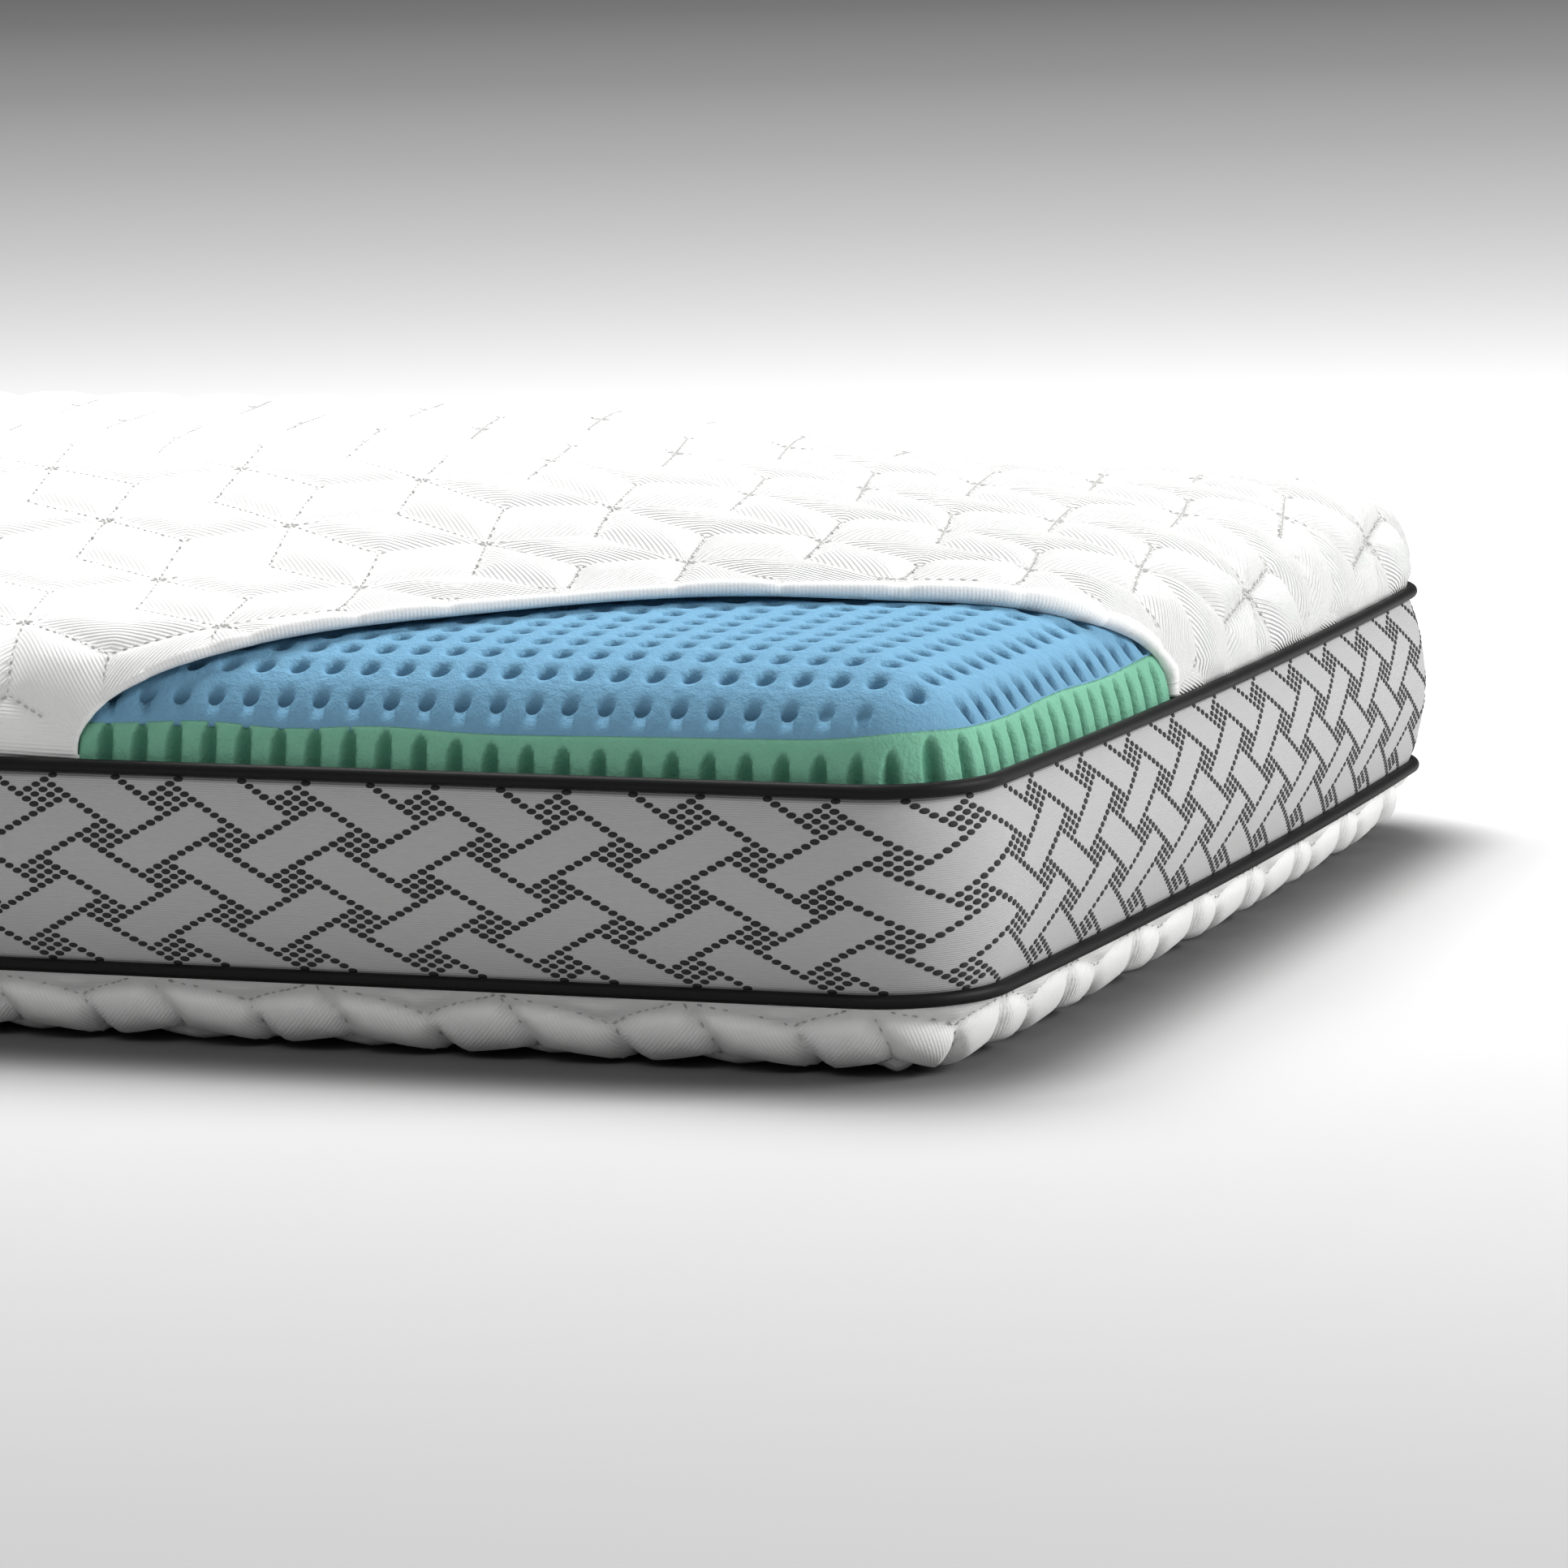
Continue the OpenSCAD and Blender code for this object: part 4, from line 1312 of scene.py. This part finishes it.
finishes = {
    "border_padding": fibre_white, "border_backing": backing_white,
    "support_foam": foam_support, "base_foam": foam_base,
    "zip_tape_upper": zip_tape_grey, "zip_tape_lower": zip_tape_grey,
    "zip_stops": zip_metal, "zip_slider": zip_metal, "zip_pull": zip_metal,
}
for node_name, finish in finishes.items():
    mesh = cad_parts[node_name].data
    mesh.materials.clear()
    mesh.materials.append(finish)
print("pieces", len(pieces), "carried CAD nodes", len(finishes))

# %% [markdown]
# ## Stage, light and camera
# A white studio floor whose painted colour and painted glow fall off to grey far behind, one large soft light
# overhead, and a softer one from the right that lifts the short side. The camera is long and low, close to the
# corner.

# %% Stage
floor_material, tree, shader = new_material("studio floor", "#f4f4f4", 1.0)
shader.inputs["Specular IOR Level"].default_value = 0.0
place = add_node(tree, "ShaderNodeTexCoord")
parts = add_node(tree, "ShaderNodeSeparateXYZ", {0: place.outputs["Object"]})
CAMERA_AT = Vector((2.2305, -4.045, 0.756))
YAW, PITCH, ROLL = math.radians(-21.28), math.radians(8.67), math.radians(-1.46)
# distance from the camera along its heading, in metres
away_x = add_node(tree, "ShaderNodeMath", {0: parts.outputs[0], 1: math.sin(YAW)}, operation="MULTIPLY")
away_y = add_node(tree, "ShaderNodeMath", {0: parts.outputs[1], 1: math.cos(YAW)}, operation="MULTIPLY")
away = add_node(tree, "ShaderNodeMath", {0: away_x.outputs[0], 1: away_y.outputs[0]}, operation="ADD")
start_away = CAMERA_AT.x * math.sin(YAW) + CAMERA_AT.y * math.cos(YAW)
RAMP_REACH = 24.0
share = add_node(tree, "ShaderNodeMapRange", {
    "Value": away.outputs[0], "From Min": start_away, "From Max": start_away + RAMP_REACH,
    "To Min": 0.0, "To Max": 1.0,
})


def graded(stops):
    """A ramp of greys along the distance from the camera."""
    ramp = add_node(tree, "ShaderNodeValToRGB", {0: share.outputs[0]})
    while len(ramp.color_ramp.elements) < len(stops):
        ramp.color_ramp.elements.new(0.5)
    for element, (at, value) in zip(ramp.color_ramp.elements, stops):
        element.position = at
        element.color = (value, value, value, 1)
    return ramp.outputs[0]


# the floor's colour by distance from the camera, with the studio light's falloff painted into it; further down, a
# painted glow by distance stands in for the lit far background
near = graded([(0.00, 0.49), (0.12, 0.53), (0.17, 0.61), (0.21, 0.68), (0.30, 0.64), (1.00, 0.55)])


def beyond(axis, half):
    """How far a coordinate lies past the mattress's straight side, never below zero."""
    size = add_node(tree, "ShaderNodeMath", {0: parts.outputs[axis]}, operation="ABSOLUTE")
    past = add_node(tree, "ShaderNodeMath", {0: size.outputs[0], 1: half}, operation="SUBTRACT")
    return add_node(tree, "ShaderNodeMath", {0: past.outputs[0], 1: 0.0}, operation="MAXIMUM").outputs[0]


# painted shadow: the floor's colour is darkened where the mattress stands close over it
past_x, past_y = beyond(0, HALF_L - 0.10), beyond(1, HALF_W - 0.10)
both = add_node(tree, "ShaderNodeCombineXYZ", {0: past_x, 1: past_y})
reach_out = add_node(tree, "ShaderNodeVectorMath", {0: both.outputs[0]}, operation="LENGTH")
painted_contact_shadow = add_node(tree, "ShaderNodeMapRange", {
    "Value": reach_out.outputs["Value"], "From Min": 0.095, "From Max": 0.19, "To Min": 0.28, "To Max": 1.0,
}, interpolation_type="SMOOTHSTEP")
floor_colour_with_painted_shadow = add_node(tree, "ShaderNodeVectorMath", {0: near}, operation="SCALE")
tree.links.new(painted_contact_shadow.outputs["Result"], floor_colour_with_painted_shadow.inputs["Scale"])
tree.links.new(floor_colour_with_painted_shadow.outputs[0], shader.inputs["Base Color"])
# painted glow: the floor's emission grades with distance to stand in for the far background's light
tree.links.new(graded([(0.00, 0.0), (0.195, 0.0), (0.25, 0.50), (0.304, 0.71), (0.341, 0.64), (0.389, 0.54),
                       (0.453, 0.425), (0.542, 0.30), (0.67, 0.172), (0.858, 0.070), (1.00, 0.034)]),
               shader.inputs["Emission Color"])
shader.inputs["Emission Strength"].default_value = 1.0
floor = mesh_object("studio floor", [[-60, -20, 0], [60, -20, 0], [60, 80, 0], [-60, 80, 0]], [[0, 1, 2, 3]],
                    floor_material, smooth=False)
floor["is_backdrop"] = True

world = bpy.data.worlds.new("studio")
bpy.context.scene.world = world
world.use_nodes = True
world.node_tree.nodes["Background"].inputs[0].default_value = (1, 1, 1, 1)
world.node_tree.nodes["Background"].inputs[1].default_value = 0.20


def softbox(name, at, target, size, power):
    """A large rectangular light that faces a point."""
    data = bpy.data.lights.new(name, "AREA")
    data.shape = "RECTANGLE"
    data.size, data.size_y = size
    data.energy = power
    made = bpy.data.objects.new(name, data)
    bpy.context.scene.collection.objects.link(made)
    made.location = at
    made.rotation_euler = (Vector(target) - Vector(at)).to_track_quat("-Z", "Y").to_euler()


softbox("overhead", (-0.3, 0.9, 2.8), (0.2, 0.0, 0.2), (2.4, 1.6), 128)
softbox("right fill", (3.6, 0.4, 1.5), (0.9, 0.0, 0.15), (1.6, 1.2), 88)
softbox("front fill", (1.0, -3.8, 3.2), (0.6, -0.4, 0.1), (3.0, 1.6), 50)

camera_data = bpy.data.cameras.new("camera")
# the fitted focal length, 8301 pixels in a frame 1932 pixels wide
camera_data.lens = 154.7
camera_data.sensor_width = 36
camera_data.clip_end = 200
camera = bpy.data.objects.new("camera", camera_data)
bpy.context.scene.collection.objects.link(camera)
forward = Vector((math.sin(YAW) * math.cos(PITCH), math.cos(YAW) * math.cos(PITCH), -math.sin(PITCH)))
level = Vector((math.cos(YAW), -math.sin(YAW), 0))
upright = level.cross(forward)
right_way = level * math.cos(ROLL) + upright * math.sin(ROLL)
up_way = -level * math.sin(ROLL) + upright * math.cos(ROLL)
turn_matrix = Matrix((right_way, up_way, -forward)).transposed()
camera.matrix_world = Matrix.Translation(CAMERA_AT) @ turn_matrix.to_4x4()
bpy.context.scene.camera = camera
bpy.context.scene.view_settings.view_transform = "Standard"

bounds_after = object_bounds()


def plain(value):
    if isinstance(value, dict):
        return {k: plain(v) for k, v in value.items()}
    if hasattr(value, "__len__") and not isinstance(value, str):
        return [plain(v) for v in value]
    return float(value) if isinstance(value, (int, float)) else value


{"before": plain(bounds_before), "after": plain(bounds_after)}
print("size before", plain(bounds_before), "after", plain(bounds_after))
